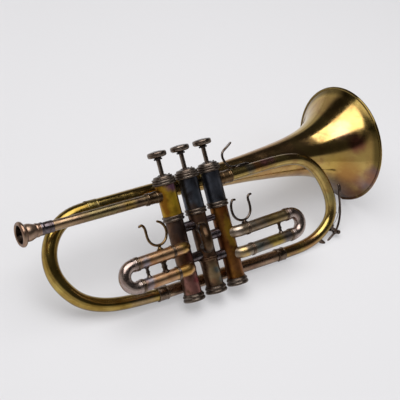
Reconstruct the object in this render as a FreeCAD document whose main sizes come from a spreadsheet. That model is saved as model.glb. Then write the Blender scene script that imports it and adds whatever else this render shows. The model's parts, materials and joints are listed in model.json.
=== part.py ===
import FreeCAD, Part
import Sketcher
import math
import os
from FreeCAD import Vector, Placement, Rotation

# Flugelhorn with three piston valves, in millimetres.
# Frame: +X from the mouthpiece towards the bell, +Z up along the valves,
# -Y towards the player's right hand side.  The origin is on the axis of the
# first valve, at the flat underside of its bottom cap.

doc = FreeCAD.newDocument("flugelhorn")
sheet = doc.addObject("Spreadsheet::Sheet", "Dims")

DIMS = [
    # valve block
    ("valve_pitch", "29"), ("cap_base_radius", "12.15"), ("cap_base_height", "8"),
    ("thread_radius_low", "9.4"), ("casing_low_radius", "9.75"), ("casing_up_radius", "10.65"),
    ("casing_bore", "8.6"), ("casing_split", "91.5"), ("casing_low_start", "2.3"),
    ("casing_up_end", "128"), ("thread_radius_top", "10.3"), ("thread_top_end", "133.5"),
    ("ring_radius", "12"), ("ring_low", "88.4"), ("ring_high", "94.6"),
    ("cap_top_radius", "13"), ("cap_top_height", "139"), ("stem_radius", "2.45"),
    ("piston_gap", "0.04"), ("piston_low", "29.5"), ("piston_high", "126"),
    ("button_radius", "10.5"), ("button_low", "156.5"), ("felt_radius", "4.6"),
    ("spring_radius", "6.3"), ("spring_wire", "0.5"), ("spring_pitch", "3.7"),
    # windway through the valves
    ("port_radius", "5"), ("cross_radius", "5.4"), ("cross_small_radius", "3.4"),
    ("tube_wall", "0.8"),
    # mouthpipe and mouthpiece
    ("pipe_height", "117.4"), ("pipe_tilt", "1.35"), ("pipe_radius", "5.5"),
    ("pipe_bore", "4.7"), ("pipe_reach", "147.2"), ("rim_reach", "168.2"),
    ("mouth_rim_radius", "13.7"), ("shank_radius", "4.65"), ("receiver_radius", "6.15"),
    ("socket_radius", "6.3"), ("socket_reach", "27"), ("pipe_end_radius", "5"),
    # bell
    ("bell_yaw", "2"), ("bell_pitch", "2.1"), ("bell_length", "357"), ("bell_radius", "71.8"),
    ("bell_wall", "0.7"), ("bead_radius", "1.8"), ("bead_wire", "1.2"),
    ("tail_x", "-78"), ("tail_y", "25"), ("tail_z", "124.8"),
    # bows and branch tube
    ("bow_radius", "8"), ("branch_radius", "6.75"), ("loop_radius", "6.65"),
    ("loop_height", "117"), ("loop_tilt", "10.62"), ("bow_tilt", "2.99"),
    ("branch_x_low", "-32"), ("branch_y_low", "19.3"), ("branch_z_low", "15.6"),
    ("branch_x_high", "138"), ("branch_y_high", "20.1"), ("branch_z_high", "9.9"),
    # valve slides
    ("slide_radius", "6.6"), ("slide_bore", "5.8"), ("leg_radius", "5.75"), ("leg_bore", "5.1"),
    ("crook_radius", "6.5"),
    ("slide_one_x", "-3"), ("slide_one_y", "-18"), ("slide_one_top", "60"),
    ("slide_one_spacing", "23"), ("slide_one_elbow", "7.5"), ("slide_one_end", "66"),
    ("slide_two_angle", "24"), ("slide_two_top", "74"), ("slide_two_spacing", "21"),
    ("slide_two_radius", "6"), ("slide_two_end", "21"),
    ("slide_three_angle", "50"), ("slide_three_y", "-12"), ("slide_three_top", "57.2"),
    ("slide_three_spacing", "23.6"), ("slide_three_elbow", "10"), ("slide_three_end", "136"),
    # hooks and water key
    ("hook_wire", "1.4"), ("hook_little_wire", "1.35"), ("key_rod", "1.35"),
    ("key_pivot_x", "225"), ("key_pivot_z", "12.2"),
]
for row, (alias, value) in enumerate(DIMS, start=1):
    sheet.set("A%d" % row, alias)
    sheet.set("B%d" % row, value)
    sheet.setAlias("B%d" % row, alias)
doc.recompute()


# ---------------------------------------------------------------- sizes and names
def dim(alias):
    return float(getattr(sheet, alias))


class Size:
    """A length that follows the sheet: factor * alias + extra."""

    def __init__(self, alias, extra=0.0, factor=1.0):
        self.value = dim(alias) * factor + extra
        self.expression = "Dims.%s * %.6g + (%.6g)" % (alias, factor, extra)


def number(length):
    return length.value if isinstance(length, Size) else float(length)


def bind(obj, prop, length):
    if isinstance(length, Size):
        obj.setExpression(prop, length.expression)


name_count = 0


def unique(stem):
    global name_count
    name_count += 1
    return "%s_%03d" % (stem, name_count)


# ---------------------------------------------------------------- placements
TO_BELL, TO_PLAYER = (1, 0, 0), (-1, 0, 0)
TO_RIGHT, UP = (0, -1, 0), (0, 0, 1)


def upright(x):
    return Placement(Vector(x, 0, 0), Rotation())


def along(point, direction):
    """Local Z along direction."""
    return Placement(Vector(*point), Rotation(Vector(0, 0, 1), Vector(*direction)))


# ---------------------------------------------------------------- modelling helpers
def new_body(label):
    body = doc.addObject("PartDesign::Body", unique("Body"))
    body.Label = label
    return body


def sketch_on(body, role):
    plane = next(f for f in body.Origin.OriginFeatures if f.Role == role)
    sketch = body.newObject("Sketcher::SketchObject", unique("Sketch"))
    sketch.AttachmentSupport = [(plane, "")]
    sketch.MapMode = "FlatFace"
    return sketch


def constrain(sketch, length, *definition):
    """Dimensional constraint that follows the sheet when length is a Size."""
    index = sketch.addConstraint(Sketcher.Constraint(*definition, number(length)))
    bind(sketch, "Constraints[%d]" % index, length)


def fix_start(sketch, line, point):
    """Fix the start of a line; a zero coordinate puts it on the axis."""
    for length, kind, axis in zip(point, ("DistanceX", "DistanceY"), (-2, -1)):
        if abs(number(length)) < 1e-9:
            sketch.addConstraint(Sketcher.Constraint("PointOnObject", line, 1, axis))
        else:
            constrain(sketch, length, kind, -1, 1, line, 1)


def revolve(body, sketch, place):
    turn = body.newObject("PartDesign::Revolution", unique("Revolution"))
    turn.Profile = sketch
    turn.ReferenceAxis = (sketch, ["V_Axis"])
    turn.Angle = 360
    body.Tip = turn
    if place is not None:
        body.Placement = place
    return body


def turned(label, profile, place=None):
    """A turned piece: a closed profile of (radius, height) points about local Z."""
    body = new_body(label)
    sketch = sketch_on(body, "XZ_Plane")
    following = profile[1:] + profile[:1]
    lines = []
    for start, end in zip(profile, following):
        lines.append(sketch.addGeometry(Part.LineSegment(
            Vector(number(start[0]), number(start[1]), 0),
            Vector(number(end[0]), number(end[1]), 0)), False))
    for line, next_line in zip(lines, lines[1:] + lines[:1]):
        sketch.addConstraint(Sketcher.Constraint("Coincident", line, 2, next_line, 1))
    for line, point in zip(lines, profile):
        fix_start(sketch, line, point)
    return revolve(body, sketch, place)


def ring(label, inner, outer, low, high, place=None):
    return turned(label, [(inner, low), (outer, low), (outer, high), (inner, high)], place)


def path_tube(label, segments, outer, inner, place):
    """Tube of constant section; its path starts at the local origin along +X in the XY plane.
    segments: ("L", length) or ("A", radius, signed angle in degrees)."""
    body = new_body(label)
    path = sketch_on(body, "XY_Plane")
    x, y, heading = 0.0, 0.0, 0.0
    last = None
    for segment in segments:
        size = number(segment[1])
        if segment[0] == "L":
            next_x, next_y = x + size * math.cos(heading), y + size * math.sin(heading)
            curve = path.addGeometry(
                Part.LineSegment(Vector(x, y, 0), Vector(next_x, next_y, 0)), False)
            constrain(path, segment[1], "Distance", curve)
            ends = (1, 2)
            x, y = next_x, next_y
        else:
            angle = math.radians(segment[2])
            side = 1.0 if angle > 0 else -1.0
            centre_x = x - side * size * math.sin(heading)
            centre_y = y + side * size * math.cos(heading)
            begin = math.atan2(y - centre_y, x - centre_x)
            finish = begin + angle
            circle = Part.Circle(Vector(centre_x, centre_y, 0), Vector(0, 0, 1), size)
            # sketch arcs run anticlockwise, so a right turn is drawn from its far end
            if side > 0:
                curve = path.addGeometry(Part.ArcOfCircle(circle, begin, finish), False)
                ends = (1, 2)
            else:
                curve = path.addGeometry(Part.ArcOfCircle(circle, finish, begin), False)
                ends = (2, 1)
            constrain(path, segment[1], "Radius", curve)
            x, y = centre_x + size * math.cos(finish), centre_y + size * math.sin(finish)
            heading += angle
        if last is None:
            path.addConstraint(Sketcher.Constraint("Coincident", curve, ends[0], -1, 1))
            if segment[0] == "L":
                path.addConstraint(Sketcher.Constraint("Horizontal", curve))
        else:
            path.addConstraint(Sketcher.Constraint("Tangent", last[0], last[1], curve, ends[0]))
        last = (curve, ends[1])
    section = sketch_on(body, "YZ_Plane")
    for radius in (outer, inner):
        circle = section.addGeometry(
            Part.Circle(Vector(0, 0, 0), Vector(0, 0, 1), number(radius)), False)
        section.addConstraint(Sketcher.Constraint("Coincident", circle, 3, -1, 1))
        constrain(section, radius, "Radius", circle)
    pipe = body.newObject("PartDesign::AdditivePipe", unique("Pipe"))
    pipe.Profile = section
    pipe.Spine = (path, [])
    body.Tip = pipe
    body.Placement = place
    return body


def cylinder(radius, height, base, direction):
    obj = doc.addObject("Part::Cylinder", unique("Cylinder"))
    obj.Radius = number(radius)
    obj.Height = number(height)
    bind(obj, "Radius", radius)
    bind(obj, "Height", height)
    obj.Placement = along(base, direction)
    return obj


def torus(label, major, minor, place):
    obj = doc.addObject("Part::Torus", unique("Torus"))
    obj.Radius1 = number(major)
    obj.Radius2 = number(minor)
    bind(obj, "Radius1", major)
    bind(obj, "Radius2", minor)
    obj.Placement = place
    obj.Label = label
    return obj


def fuse(label, items):
    if len(items) == 1:
        items[0].Label = label
        return items[0]
    obj = doc.addObject("Part::MultiFuse", unique("Fuse"))
    obj.Shapes = items
    obj.Label = label
    return obj


def cut(label, base, tools):
    obj = doc.addObject("Part::Cut", unique("Cut"))
    obj.Base = base
    obj.Tool = fuse(unique("tools"), tools)
    obj.Label = label
    return obj


def fixed(label, shape):
    """A document object around a ready shape."""
    obj = doc.addObject("Part::Feature", unique("Feature"))
    obj.Label = label
    obj.Shape = shape
    return obj


def swept(points, radii):
    """Round bar along a smooth curve: radii = [(fraction of the curve, radius)]."""
    curve = Part.BSplineCurve()
    curve.interpolate([Vector(*p) for p in points])
    shell = Part.BRepOffsetAPI.MakePipeShell(Part.Wire([curve.toShape()]))
    shell.setFrenetMode(False)
    first, last = curve.FirstParameter, curve.LastParameter
    for fraction, radius in radii:
        at = first + (last - first) * fraction
        circle = Part.makeCircle(radius, curve.value(at), curve.tangent(at)[0])
        shell.add(Part.Wire([circle]), False, False)
    shell.build()
    shell.makeSolid()
    return shell.shape()


# ---------------------------------------------------------------- shared places
TIGHT = 0.02  # gap between pieces that are fitted together
LOOSE = 0.05  # gap between pieces that screw, slide or butt
WALL = dim("tube_wall")

PITCH = dim("valve_pitch")
VALVE_X = [0.0, PITCH, 2 * PITCH]
PIPE_Z = dim("pipe_height")
LOOP_Z = dim("loop_height")

# heights of the crossover tubes; the thin one has no ports
CROSS_12 = [78.0, 44.0]
CROSS_23 = [61.0, 37.0]
CROSS_23_THIN = 79.0


def tube_heights(slide):
    top = dim(slide + "_top")
    return (top, top - dim(slide + "_spacing"))


SLIDE_1_Z = tube_heights("slide_one")
SLIDE_2_Z = tube_heights("slide_two")
SLIDE_3_Z = tube_heights("slide_three")
SLIDE_1_X = dim("slide_one_x")
ANGLE_2 = math.radians(dim("slide_two_angle"))
ANGLE_3 = math.radians(dim("slide_three_angle"))
SLIDE_2_DIR = (-math.sin(ANGLE_2), -math.cos(ANGLE_2), 0.0)
SLIDE_3_DIR = (math.cos(ANGLE_3), -math.sin(ANGLE_3), 0.0)

# ---------------------------------------------------------------- valve casings
# (radius, height) of the double band round the middle casing, below its slide
BAND_LOW, BAND_HIGH, BAND_RADIUS = 36.2, 40.8, 10.9
MIDDLE_BAND = [
    (Size("casing_low_radius"), BAND_LOW), (10.7, 36.6), (BAND_RADIUS, 37.3), (10.7, 38.0),
    (10.2, 38.5), (10.7, 39.0), (BAND_RADIUS, 39.7), (10.7, 40.4),
    (Size("casing_low_radius"), BAND_HIGH)]


def ports_at(x, heights, direction, y=0):
    return [((x, y, z), direction) for z in heights]


# (start, direction) of the ports, valve by valve
LOWER_PORTS = [
    ports_at(SLIDE_1_X, SLIDE_1_Z, TO_RIGHT, y=-3) + ports_at(VALVE_X[0], CROSS_12, TO_BELL),
    ports_at(VALVE_X[1], SLIDE_2_Z, SLIDE_2_DIR) + ports_at(VALVE_X[1], CROSS_12, TO_PLAYER)
    + ports_at(VALVE_X[1], CROSS_23, TO_BELL),
    ports_at(VALVE_X[2], SLIDE_3_Z, SLIDE_3_DIR) + ports_at(VALVE_X[2], CROSS_23, TO_PLAYER),
]
UPPER_PORTS = [ports_at(VALVE_X[0], [PIPE_Z], TO_PLAYER), [],
               ports_at(VALVE_X[2], [LOOP_Z], TO_BELL)]


def bored(label, casing, ports):
    if not ports:
        casing.Label = label
        return casing
    return cut(label, casing, [cylinder(Size("port_radius"), 16.0, start, direction)
                               for start, direction in ports])


def lower_casing(valve):
    bore, thread, outer = Size("casing_bore"), Size("thread_radius_low"), Size("casing_low_radius")
    start, shoulder, end = Size("casing_low_start"), Size("cap_base_height"), Size("casing_split")
    band = MIDDLE_BAND if valve == 1 else []
    casing = turned(
        unique("low"),
        [(bore, start), (thread, start), (thread, shoulder), (outer, shoulder)] + band
        + [(outer, end), (bore, end)],
        upright(VALVE_X[valve]))
    return bored("lower_casing_%d" % (valve + 1), casing, LOWER_PORTS[valve])


def upper_casing(valve):
    bore, outer, thread = Size("casing_bore"), Size("casing_up_radius"), Size("thread_radius_top")
    start, shoulder, end = Size("casing_split"), Size("casing_up_end"), Size("thread_top_end")
    casing = turned(
        unique("up"),
        [(bore, start), (outer, start), (outer, shoulder), (thread, shoulder), (thread, end),
         (bore, end)],
        upright(VALVE_X[valve]))
    return bored("upper_casing_%d" % (valve + 1), casing, UPPER_PORTS[valve])


def casing_rings():
    """Turned balusters where the upper and lower casings meet."""
    outer = Size("ring_radius")
    over_low = Size("casing_low_radius", TIGHT)
    over_up = Size("casing_up_radius", TIGHT)
    # (radius, height above the ring's lower edge)
    swell = [(11.7, 0.3), (outer, 0.9), (outer, 1.7), (11.6, 2.3), (11.1, 2.7), (11.1, 3.2),
             (11.6, 3.6), (outer, 4.2)]
    profile = [(over_low, Size("ring_low")), (11.0, Size("ring_low"))]
    profile += [(radius, Size("ring_low", rise)) for radius, rise in swell]
    profile += [
        (outer, Size("ring_high", -1.2)), (11.6, Size("ring_high", -0.5)),
        (11.1, Size("ring_high")), (over_up, Size("ring_high")),
        (over_up, Size("casing_split", -TIGHT)), (over_low, Size("casing_split", -TIGHT))]
    return fuse("casing_rings", [turned(unique("ring"), profile, upright(x)) for x in VALVE_X])


def top_caps():
    """Screwed caps, each with a small nib on top."""
    outer = Size("cap_top_radius")
    over_thread = Size("thread_radius_top", LOOSE)
    hole = Size("stem_radius", LOOSE)
    profile = [
        (over_thread, 128.02), (12.4, 128.02), (outer, 128.5), (outer, 130.0), (12.3, 130.4),
        (12.3, 130.8), (outer, 131.2), (outer, 132.0), (12.4, 132.3), (outer, 132.6),
        (outer, 133.3), (12.4, 133.6), (outer, 133.9), (outer, 134.6), (12.3, 135.1),
        (10.6, 135.6), (10.4, 136.9), (9.7, 137.4), (6.2, 138.0), (4.6, 138.6),
        (4.2, Size("cap_top_height")), (hole, Size("cap_top_height")), (hole, 134.0),
        (over_thread, 134.0)]
    caps = []
    for x in VALVE_X:
        cap = turned(unique("cap"), profile, upright(x))
        nib = cylinder(0.9, 1.6, (x + 7.6, -1.5, 137.2), UP)
        caps.append(fuse(unique("capnib"), [cap, nib]))
    return fuse("top_caps", caps)


def bottom_caps():
    outer = Size("cap_base_radius")
    rim = Size("cap_base_height", -TIGHT)
    over_thread = Size("thread_radius_low", LOOSE)
    profile = [
        (0, 0), (11.2, 0), (11.9, 0.4), (outer, 1.0), (outer, 2.6), (11.5, 3.0), (11.1, 3.5),
        (11.1, 4.1), (11.5, 4.6), (11.8, 5.0), (11.8, 6.2), (11.2, 6.7), (10.7, 7.1),
        (10.6, rim), (over_thread, rim), (over_thread, 2.0), (0, 2.0)]
    return fuse("bottom_caps", [turned(unique("cap"), profile, upright(x)) for x in VALVE_X])


# ---------------------------------------------------------------- crossover tubes
def casing_core(x, z):
    """The outside of a lower casing near height z, for trimming tubes against it."""
    return cylinder(Size("casing_low_radius", TIGHT), 26.0, (x, 0, z - 13.0), UP)


def crossover(x_start, x_end, z, radius="cross_radius"):
    tube = ring(unique("cross"), Size(radius, -WALL), Size(radius), 0.0, Size("valve_pitch"),
                along((x_start, 0, z), TO_BELL))
    tools = [casing_core(x_start, z), casing_core(x_end, z)]
    # the lowest tubes also clear the band on the middle casing
    if z < 50:
        tools.append(cylinder(BAND_RADIUS + 0.03, BAND_HIGH - BAND_LOW + 0.2,
                              (PITCH, 0, BAND_LOW - 0.1), UP))
    return cut(unique("crosscut"), tube, tools)


def crossover_tubes_1_2():
    return fuse("crossover_tubes_1_2", [crossover(VALVE_X[0], VALVE_X[1], z) for z in CROSS_12])


def crossover_tubes_2_3():
    ends = VALVE_X[1:]
    thin = crossover(*ends, CROSS_23_THIN, "cross_small_radius")
    return fuse("crossover_tubes_2_3", [thin] + [crossover(*ends, z) for z in CROSS_23])


# ---------------------------------------------------------------- pistons and their fittings
PISTON_WAYS = [CROSS_12, CROSS_12 + CROSS_23, CROSS_23]


def piston(valve):
    """Thin drum, open below, crossed by three lined passages."""
    x = VALVE_X[valve]
    inner, outer = Size("casing_bore", -1.1), Size("casing_bore", -dim("piston_gap"))
    low, high, ceiling = Size("piston_low"), Size("piston_high"), Size("piston_high", -3.0)
    drum = turned(unique("drum"), [(0, ceiling), (inner, ceiling), (inner, low), (outer, low),
                                   (outer, high), (0, high)], upright(x))
    linings, passages = [], []
    heights = (sorted(PISTON_WAYS[valve]) + [PIPE_Z - 8.0])[:3]
    skew = 0.9  # radians; the middle passage crosses the others at this angle
    for k, z in enumerate(heights):
        direction = TO_BELL if k != 1 else (math.cos(skew), math.sin(skew), 0)
        start = (x - 10.0 * direction[0], -10.0 * direction[1], z)
        linings.append(cylinder(5.6, 20.0, start, direction))
        passages.append(cylinder(4.9, 20.0, start, direction))
    inside = doc.addObject("Part::Common", unique("Common"))
    inside.Base = fuse(unique("lining"), linings)
    inside.Tool = cylinder(Size("casing_bore", -0.6), 100.0, (x, 0, 28.0), UP)
    return cut("piston_%d" % (valve + 1), fuse(unique("drumtubes"), [drum, inside]), passages)


def valve_stem(valve):
    foot, radius = Size("piston_high", 0.01), Size("stem_radius")
    return turned("valve_stem_%d" % (valve + 1), [
        (0, foot), (5.2, foot), (5.2, 133.4), (4.9, 133.9), (radius, 133.9), (radius, 158.9),
        (0, 158.9)], upright(VALVE_X[valve]))


def finger_button(valve):
    outer = Size("button_radius")
    hole = Size("stem_radius", TIGHT)
    # (radius, height above the button's underside)
    outline = [
        (3.8, 0.6), (7.6, 1.1), (9.3, 1.6), (10.1, 2.3), (outer, 3.2), (outer, 4.0),
        (10.25, 4.3), (outer, 4.6), (outer, 5.6), (10.1, 6.5), (9.0, 7.15), (6.0, 7.7),
        (3.0, 8.05), (0, 8.15), (0, 2.45), (hole, 2.45)]
    profile = [(hole, Size("button_low")), (3.5, Size("button_low"))]
    profile += [(radius, Size("button_low", rise)) for radius, rise in outline]
    return turned("finger_button_%d" % (valve + 1), profile, upright(VALVE_X[valve]))


def button_felt(valve):
    return ring("button_felt_%d" % (valve + 1), Size("stem_radius", 0.06), Size("felt_radius"),
                Size("button_low", -1.6), Size("button_low", -TIGHT), upright(VALVE_X[valve]))


def valve_spring(valve):
    radius, wire = dim("spring_radius"), dim("spring_wire")
    coils, steps, foot = 7, 8, 2.7
    points = []
    for k in range(coils * steps + 1):
        angle = k * math.pi / 4
        points.append((radius * math.cos(angle), radius * math.sin(angle),
                       foot + dim("spring_pitch") * k / steps))
    spring = fixed("valve_spring_%d" % (valve + 1), swept(points, [(0.0, wire), (1.0, wire)]))
    spring.Placement = upright(VALVE_X[valve])
    return spring


# ---------------------------------------------------------------- mouthpipe and mouthpiece
# heights in these profiles are distances from the first valve's axis
PIPE_TILT = math.radians(dim("pipe_tilt"))
PIPE_DIR = Vector(-math.cos(PIPE_TILT), 0, math.sin(PIPE_TILT))
PIPE_AT = along((0, 0, PIPE_Z), PIPE_DIR)


def mouthpipe_socket():
    bore, outer, reach = Size("pipe_end_radius", LOOSE), Size("socket_radius"), Size("socket_reach")
    socket = turned(unique("socket"), [
        (bore, 6.0), (outer, 6.0), (outer, 12.6), (6.6, 13.0), (6.7, 13.8), (6.6, 14.6),
        (outer, 15.0), (outer, 23.4), (6.65, 23.8), (6.75, 24.5), (6.65, 25.1), (6.4, 25.4),
        (6.65, 25.8), (6.65, 26.6), (6.3, reach), (bore, reach)], PIPE_AT)
    return cut("mouthpipe_socket", socket,
               [cylinder(Size("casing_up_radius", TIGHT), 40.0, (0, 0, 100.0), UP)])


def mouthpipe():
    end, outer, bore = Size("pipe_end_radius"), Size("pipe_radius"), Size("pipe_bore")
    step, reach = Size("socket_reach", LOOSE), Size("pipe_reach")
    return turned("mouthpipe", [
        (4.2, 13.0), (end, 13.0), (end, step), (outer, step), (outer, reach), (bore, reach),
        (bore, 120.0), (4.2, 118.0)], PIPE_AT)


def mouthpiece_receiver():
    bore, outer, reach = Size("pipe_radius", TIGHT), Size("receiver_radius"), Size("pipe_reach")
    return turned("mouthpiece_receiver", [
        (bore, 133.6), (5.9, 133.6), (outer, 134.2), (outer, 144.2), (6.6, 144.7),
        (6.7, 145.5), (6.6, 146.4), (6.3, reach), (bore, reach)], PIPE_AT)


def mouthpiece():
    shank, rim = Size("shank_radius"), Size("mouth_rim_radius")
    shoulder = Size("pipe_reach", LOOSE)
    # (radius, distance back from the rim): the outside from shoulder to rim, then the cup
    outline = [
        (6.75, 20.4), (7.05, 19.6), (7.1, 18.8), (6.8, 18.2), (6.75, 17.4), (7.2, 15.6),
        (7.8, 13.4), (8.15, 11.4), (8.2, 10.2), (8.0, 9.0), (7.85, 8.2), (8.1, 7.2),
        (8.9, 6.0), (10.2, 4.9), (11.8, 4.1), (12.9, 3.5), (rim, 2.7), (rim, 1.7),
        (13.3, 0.8), (12.5, 0.2), (11.4, 0.0), (10.3, 0.2), (9.2, 0.9), (8.5, 1.8),
        (8.0, 3.4), (7.0, 6.6), (5.4, 10.6), (3.6, 14.0), (2.3, 16.4), (1.9, 18.5)]
    profile = [
        (1.9, Size("rim_reach", -45.0)), (4.45, Size("rim_reach", -45.0)),
        (shank, Size("rim_reach", -43.0)), (shank, shoulder), (6.5, shoulder)]
    profile += [(radius, Size("rim_reach", -back)) for radius, back in outline]
    return turned("mouthpiece", profile, PIPE_AT)


# ---------------------------------------------------------------- bell
YAW, DROP = math.radians(dim("bell_yaw")), math.radians(-dim("bell_pitch"))
BELL_DIR = Vector(math.cos(DROP) * math.cos(YAW), math.cos(DROP) * math.sin(YAW), math.sin(DROP))
TAIL = Vector(dim("tail_x"), dim("tail_y"), dim("tail_z"))
BELL_LENGTH = dim("bell_length")
BELL_AT = along(TAIL, BELL_DIR)
RIM_AT = along(TAIL + BELL_DIR * (BELL_LENGTH - 1.0), BELL_DIR)
# (distance back from the rim, outer radius), for a bell radius of FLARE_RADIUS
FLARE_RADIUS = 71.8
FLARE = [
    (357, 8.05), (320, 8.8), (283, 9.7), (230, 11.5), (178, 14.3), (157, 15.7), (142, 17.0),
    (126, 18.6), (110, 20.3), (94, 22.4), (77, 25.3), (64, 28.2), (52, 31.9), (43, 35.6),
    (35, 39.8), (27, 45.0), (20, 50.4), (14, 55.8), (9, 61.0), (5, 65.9), (2.3, 69.6)]


def offset_inward(points, distance):
    """Shift each point square to the line through its neighbours, towards the axis."""
    shifted = []
    for k, point in enumerate(points):
        before = points[max(0, k - 1)]
        after = points[min(len(points) - 1, k + 1)]
        run = after.sub(before)
        run.normalize()
        shifted.append(Vector(point.x - run.y * distance, point.y + run.x * distance, 0))
    return shifted


def bell_flare():
    scale = dim("bell_radius") / FLARE_RADIUS
    outer = [Vector(radius * scale, BELL_LENGTH - back, 0) for back, radius in FLARE]
    inner = offset_inward(outer, dim("bell_wall"))
    body = new_body(unique("flare"))
    sketch = sketch_on(body, "XZ_Plane")
    for points in (outer, inner):
        curve = Part.BSplineCurve()
        curve.interpolate(points)
        sketch.addGeometry(curve, False)
    for end in (0, -1):
        sketch.addGeometry(Part.LineSegment(outer[end], inner[end]), False)
    return revolve(body, sketch, BELL_AT)


BEAD_CENTRE = Size("bell_radius", -dim("bead_radius"))


def bell():
    """The flare with a hollow bead round its rim."""
    flare = bell_flare()
    bead = torus(unique("bead"), BEAD_CENTRE, Size("bead_radius"), RIM_AT)
    hollow = torus(unique("hollow"), BEAD_CENTRE, Size("bead_wire", LOOSE), RIM_AT)
    return cut("bell", fuse(unique("bellbead"), [flare, bead]), [hollow])


def bell_rim_wire():
    return torus("bell_rim_wire", BEAD_CENTRE, Size("bead_wire"), RIM_AT)


# ---------------------------------------------------------------- bell bow and branch tube
# centre line of the bell bow: (x, height in the bow's plane above the branch tube's end)
BOW = [
    (-78.0, 109.36), (-95, 108.9), (-110, 105.2), (-122, 97.8), (-131, 87.0), (-136, 75.5),
    (-137.6, 64.4), (-136.6, 53.4), (-133.3, 43.9), (-128, 34.4), (-121.5, 26.1),
    (-113.5, 19.2), (-104, 13.7), (-93, 9.3), (-80, 5.9), (-60, 2.9), (-32, 0.0)]
BRANCH_START = Vector(dim("branch_x_low"), dim("branch_y_low"), dim("branch_z_low"))
BRANCH_END = Vector(dim("branch_x_high"), dim("branch_y_high"), dim("branch_z_high"))
BRANCH_RUN = BRANCH_END.sub(BRANCH_START)
BRANCH_LENGTH = BRANCH_RUN.Length
BRANCH_AT = along(BRANCH_START, BRANCH_RUN)
BRANCH_RADIUS = dim("branch_radius")
TRIM = 0.04  # the bows stop this far short of the joints


def bell_bow():
    tilt = math.radians(dim("bow_tilt"))
    points = [(x, BRANCH_START.y + rise * math.sin(tilt), BRANCH_START.z + rise * math.cos(tilt))
              for x, rise in BOW]
    wide, narrow = dim("bow_radius"), BRANCH_RADIUS
    outside = swept(points, [(0, wide), (0.5, wide), (1.0, narrow)])
    inside = swept(points, [(0, wide - WALL), (0.5, wide - WALL), (1.0, narrow - WALL)])
    at_bell = Part.makeCylinder(14.0, 12.0, TAIL - BELL_DIR * TRIM, BELL_DIR)
    at_branch = Part.makeCylinder(
        14.0, 12.0, BRANCH_START - BRANCH_RUN * (TRIM / BRANCH_LENGTH), BRANCH_RUN)
    return fixed("bell_bow", outside.cut(inside).cut(at_bell).cut(at_branch))


def branch_tube():
    return ring("branch_tube", Size("branch_radius", -WALL), Size("branch_radius"),
                LOOSE, BRANCH_LENGTH - LOOSE, BRANCH_AT)


# ---------------------------------------------------------------- exit bow
# centre line of the exit bow: (x, height in the loop's tilted plane from the exit port)
LOOP = [
    (70.0, 0.0), (100.0, 0.0), (130.0, 0.0), (155, -0.6), (170, -2.4), (183.7, -6.6),
    (196.5, -14.8), (207, -26.5), (214.5, -40), (219.6, -54), (221.8, -68), (220.6, -79),
    (215.8, -89), (206.2, -97.6), (193.1, -104.3), (179.8, -107.8), (162.3, -109.2),
    (150, -109.15), (138.0, -108.95)]
LOOP_TILT = math.radians(dim("loop_tilt"))
LOOP_RADIUS = dim("loop_radius")


def loop_point(x, rise):
    return (x, -rise * math.sin(LOOP_TILT), LOOP_Z + rise * math.cos(LOOP_TILT))


def loop_bar(radius):
    return swept([loop_point(*p) for p in LOOP], [(0, radius), (1.0, radius)])


def exit_bow():
    shape = loop_bar(LOOP_RADIUS).cut(loop_bar(LOOP_RADIUS - WALL))
    trim = Part.makeCylinder(10.0, 8.0, BRANCH_END + BRANCH_RUN * (TRIM / BRANCH_LENGTH),
                             BRANCH_RUN * -1.0)
    return fixed("exit_bow", shape.cut(trim))


def exit_socket():
    bore, over_bow = Size("port_radius", 0.6), Size("loop_radius", 0.12)
    socket = turned(unique("esock"), [
        (bore, 6.0), (7.1, 6.0), (7.1, 12.6), (7.4, 13.0), (7.5, 13.8), (7.4, 14.6),
        (7.1, 15.0), (7.1, 20.6), (7.4, 21.0), (7.5, 21.8), (7.4, 22.6), (7.15, 23.0),
        (7.45, 23.5), (7.45, 24.4), (7.1, 25.2), (over_bow, 25.2), (over_bow, 11.9),
        (bore, 11.9)], along((VALVE_X[2], 0, LOOP_Z), TO_BELL))
    return cut("exit_socket", socket,
               [cylinder(Size("casing_up_radius", TIGHT), 40.0, (VALVE_X[2], 0, 98.0), UP)])


def ferrule(inner, low, high, place, lift):
    """Sleeve with a raised bead at each end."""
    bead, middle, edge = inner + lift, inner + lift * 0.55, inner + lift * 0.7
    return turned(unique("band"), [
        (inner, low), (edge, low), (bead, low + 0.5), (bead, low + 1.4), (middle, low + 1.8),
        (middle, high - 1.8), (bead, high - 1.4), (bead, high - 0.5), (edge, high),
        (inner, high)], place)


def bow_ferrules():
    """Bell tail to bow, bow to branch tube, branch tube to exit bow."""
    return fuse("bow_ferrules", [
        ferrule(8.36, -5.8, 7.0, BELL_AT, 0.4),
        ferrule(BRANCH_RADIUS + 0.3, -0.5, 12.0, BRANCH_AT, 1.0),
        ferrule(BRANCH_RADIUS + 0.12, BRANCH_LENGTH - 8.0, BRANCH_LENGTH + 3.0, BRANCH_AT, 1.0)])


# ---------------------------------------------------------------- valve slides
SLIDE_1_Y = dim("slide_one_y")
SLIDE_1_END = -dim("slide_one_end")
SLIDE_2_END = dim("slide_two_end")
SLIDE_3_Y = dim("slide_three_y")
SLIDE_3_END = dim("slide_three_end")


def bent_tube(start, direction, segments, casing_x):
    """Fixed slide tube that leaves a casing level and bends in the horizontal plane."""
    ahead = Vector(*direction)
    up = Vector(*UP)
    place = Placement(Vector(*start), Rotation(ahead, up.cross(ahead), up, "XYZ"))
    tube = path_tube(unique("tube"), segments, Size("slide_radius"), Size("slide_bore"), place)
    return cut(unique("tubecut"), tube, [casing_core(casing_x, start[2])])


def slide_legs(label, start_x, y, heights, direction, length):
    return fuse(label, [ring(unique("leg"), Size("leg_bore"), Size("leg_radius"), 0.0, length,
                             along((start_x, y, z), direction)) for z in heights])


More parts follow.
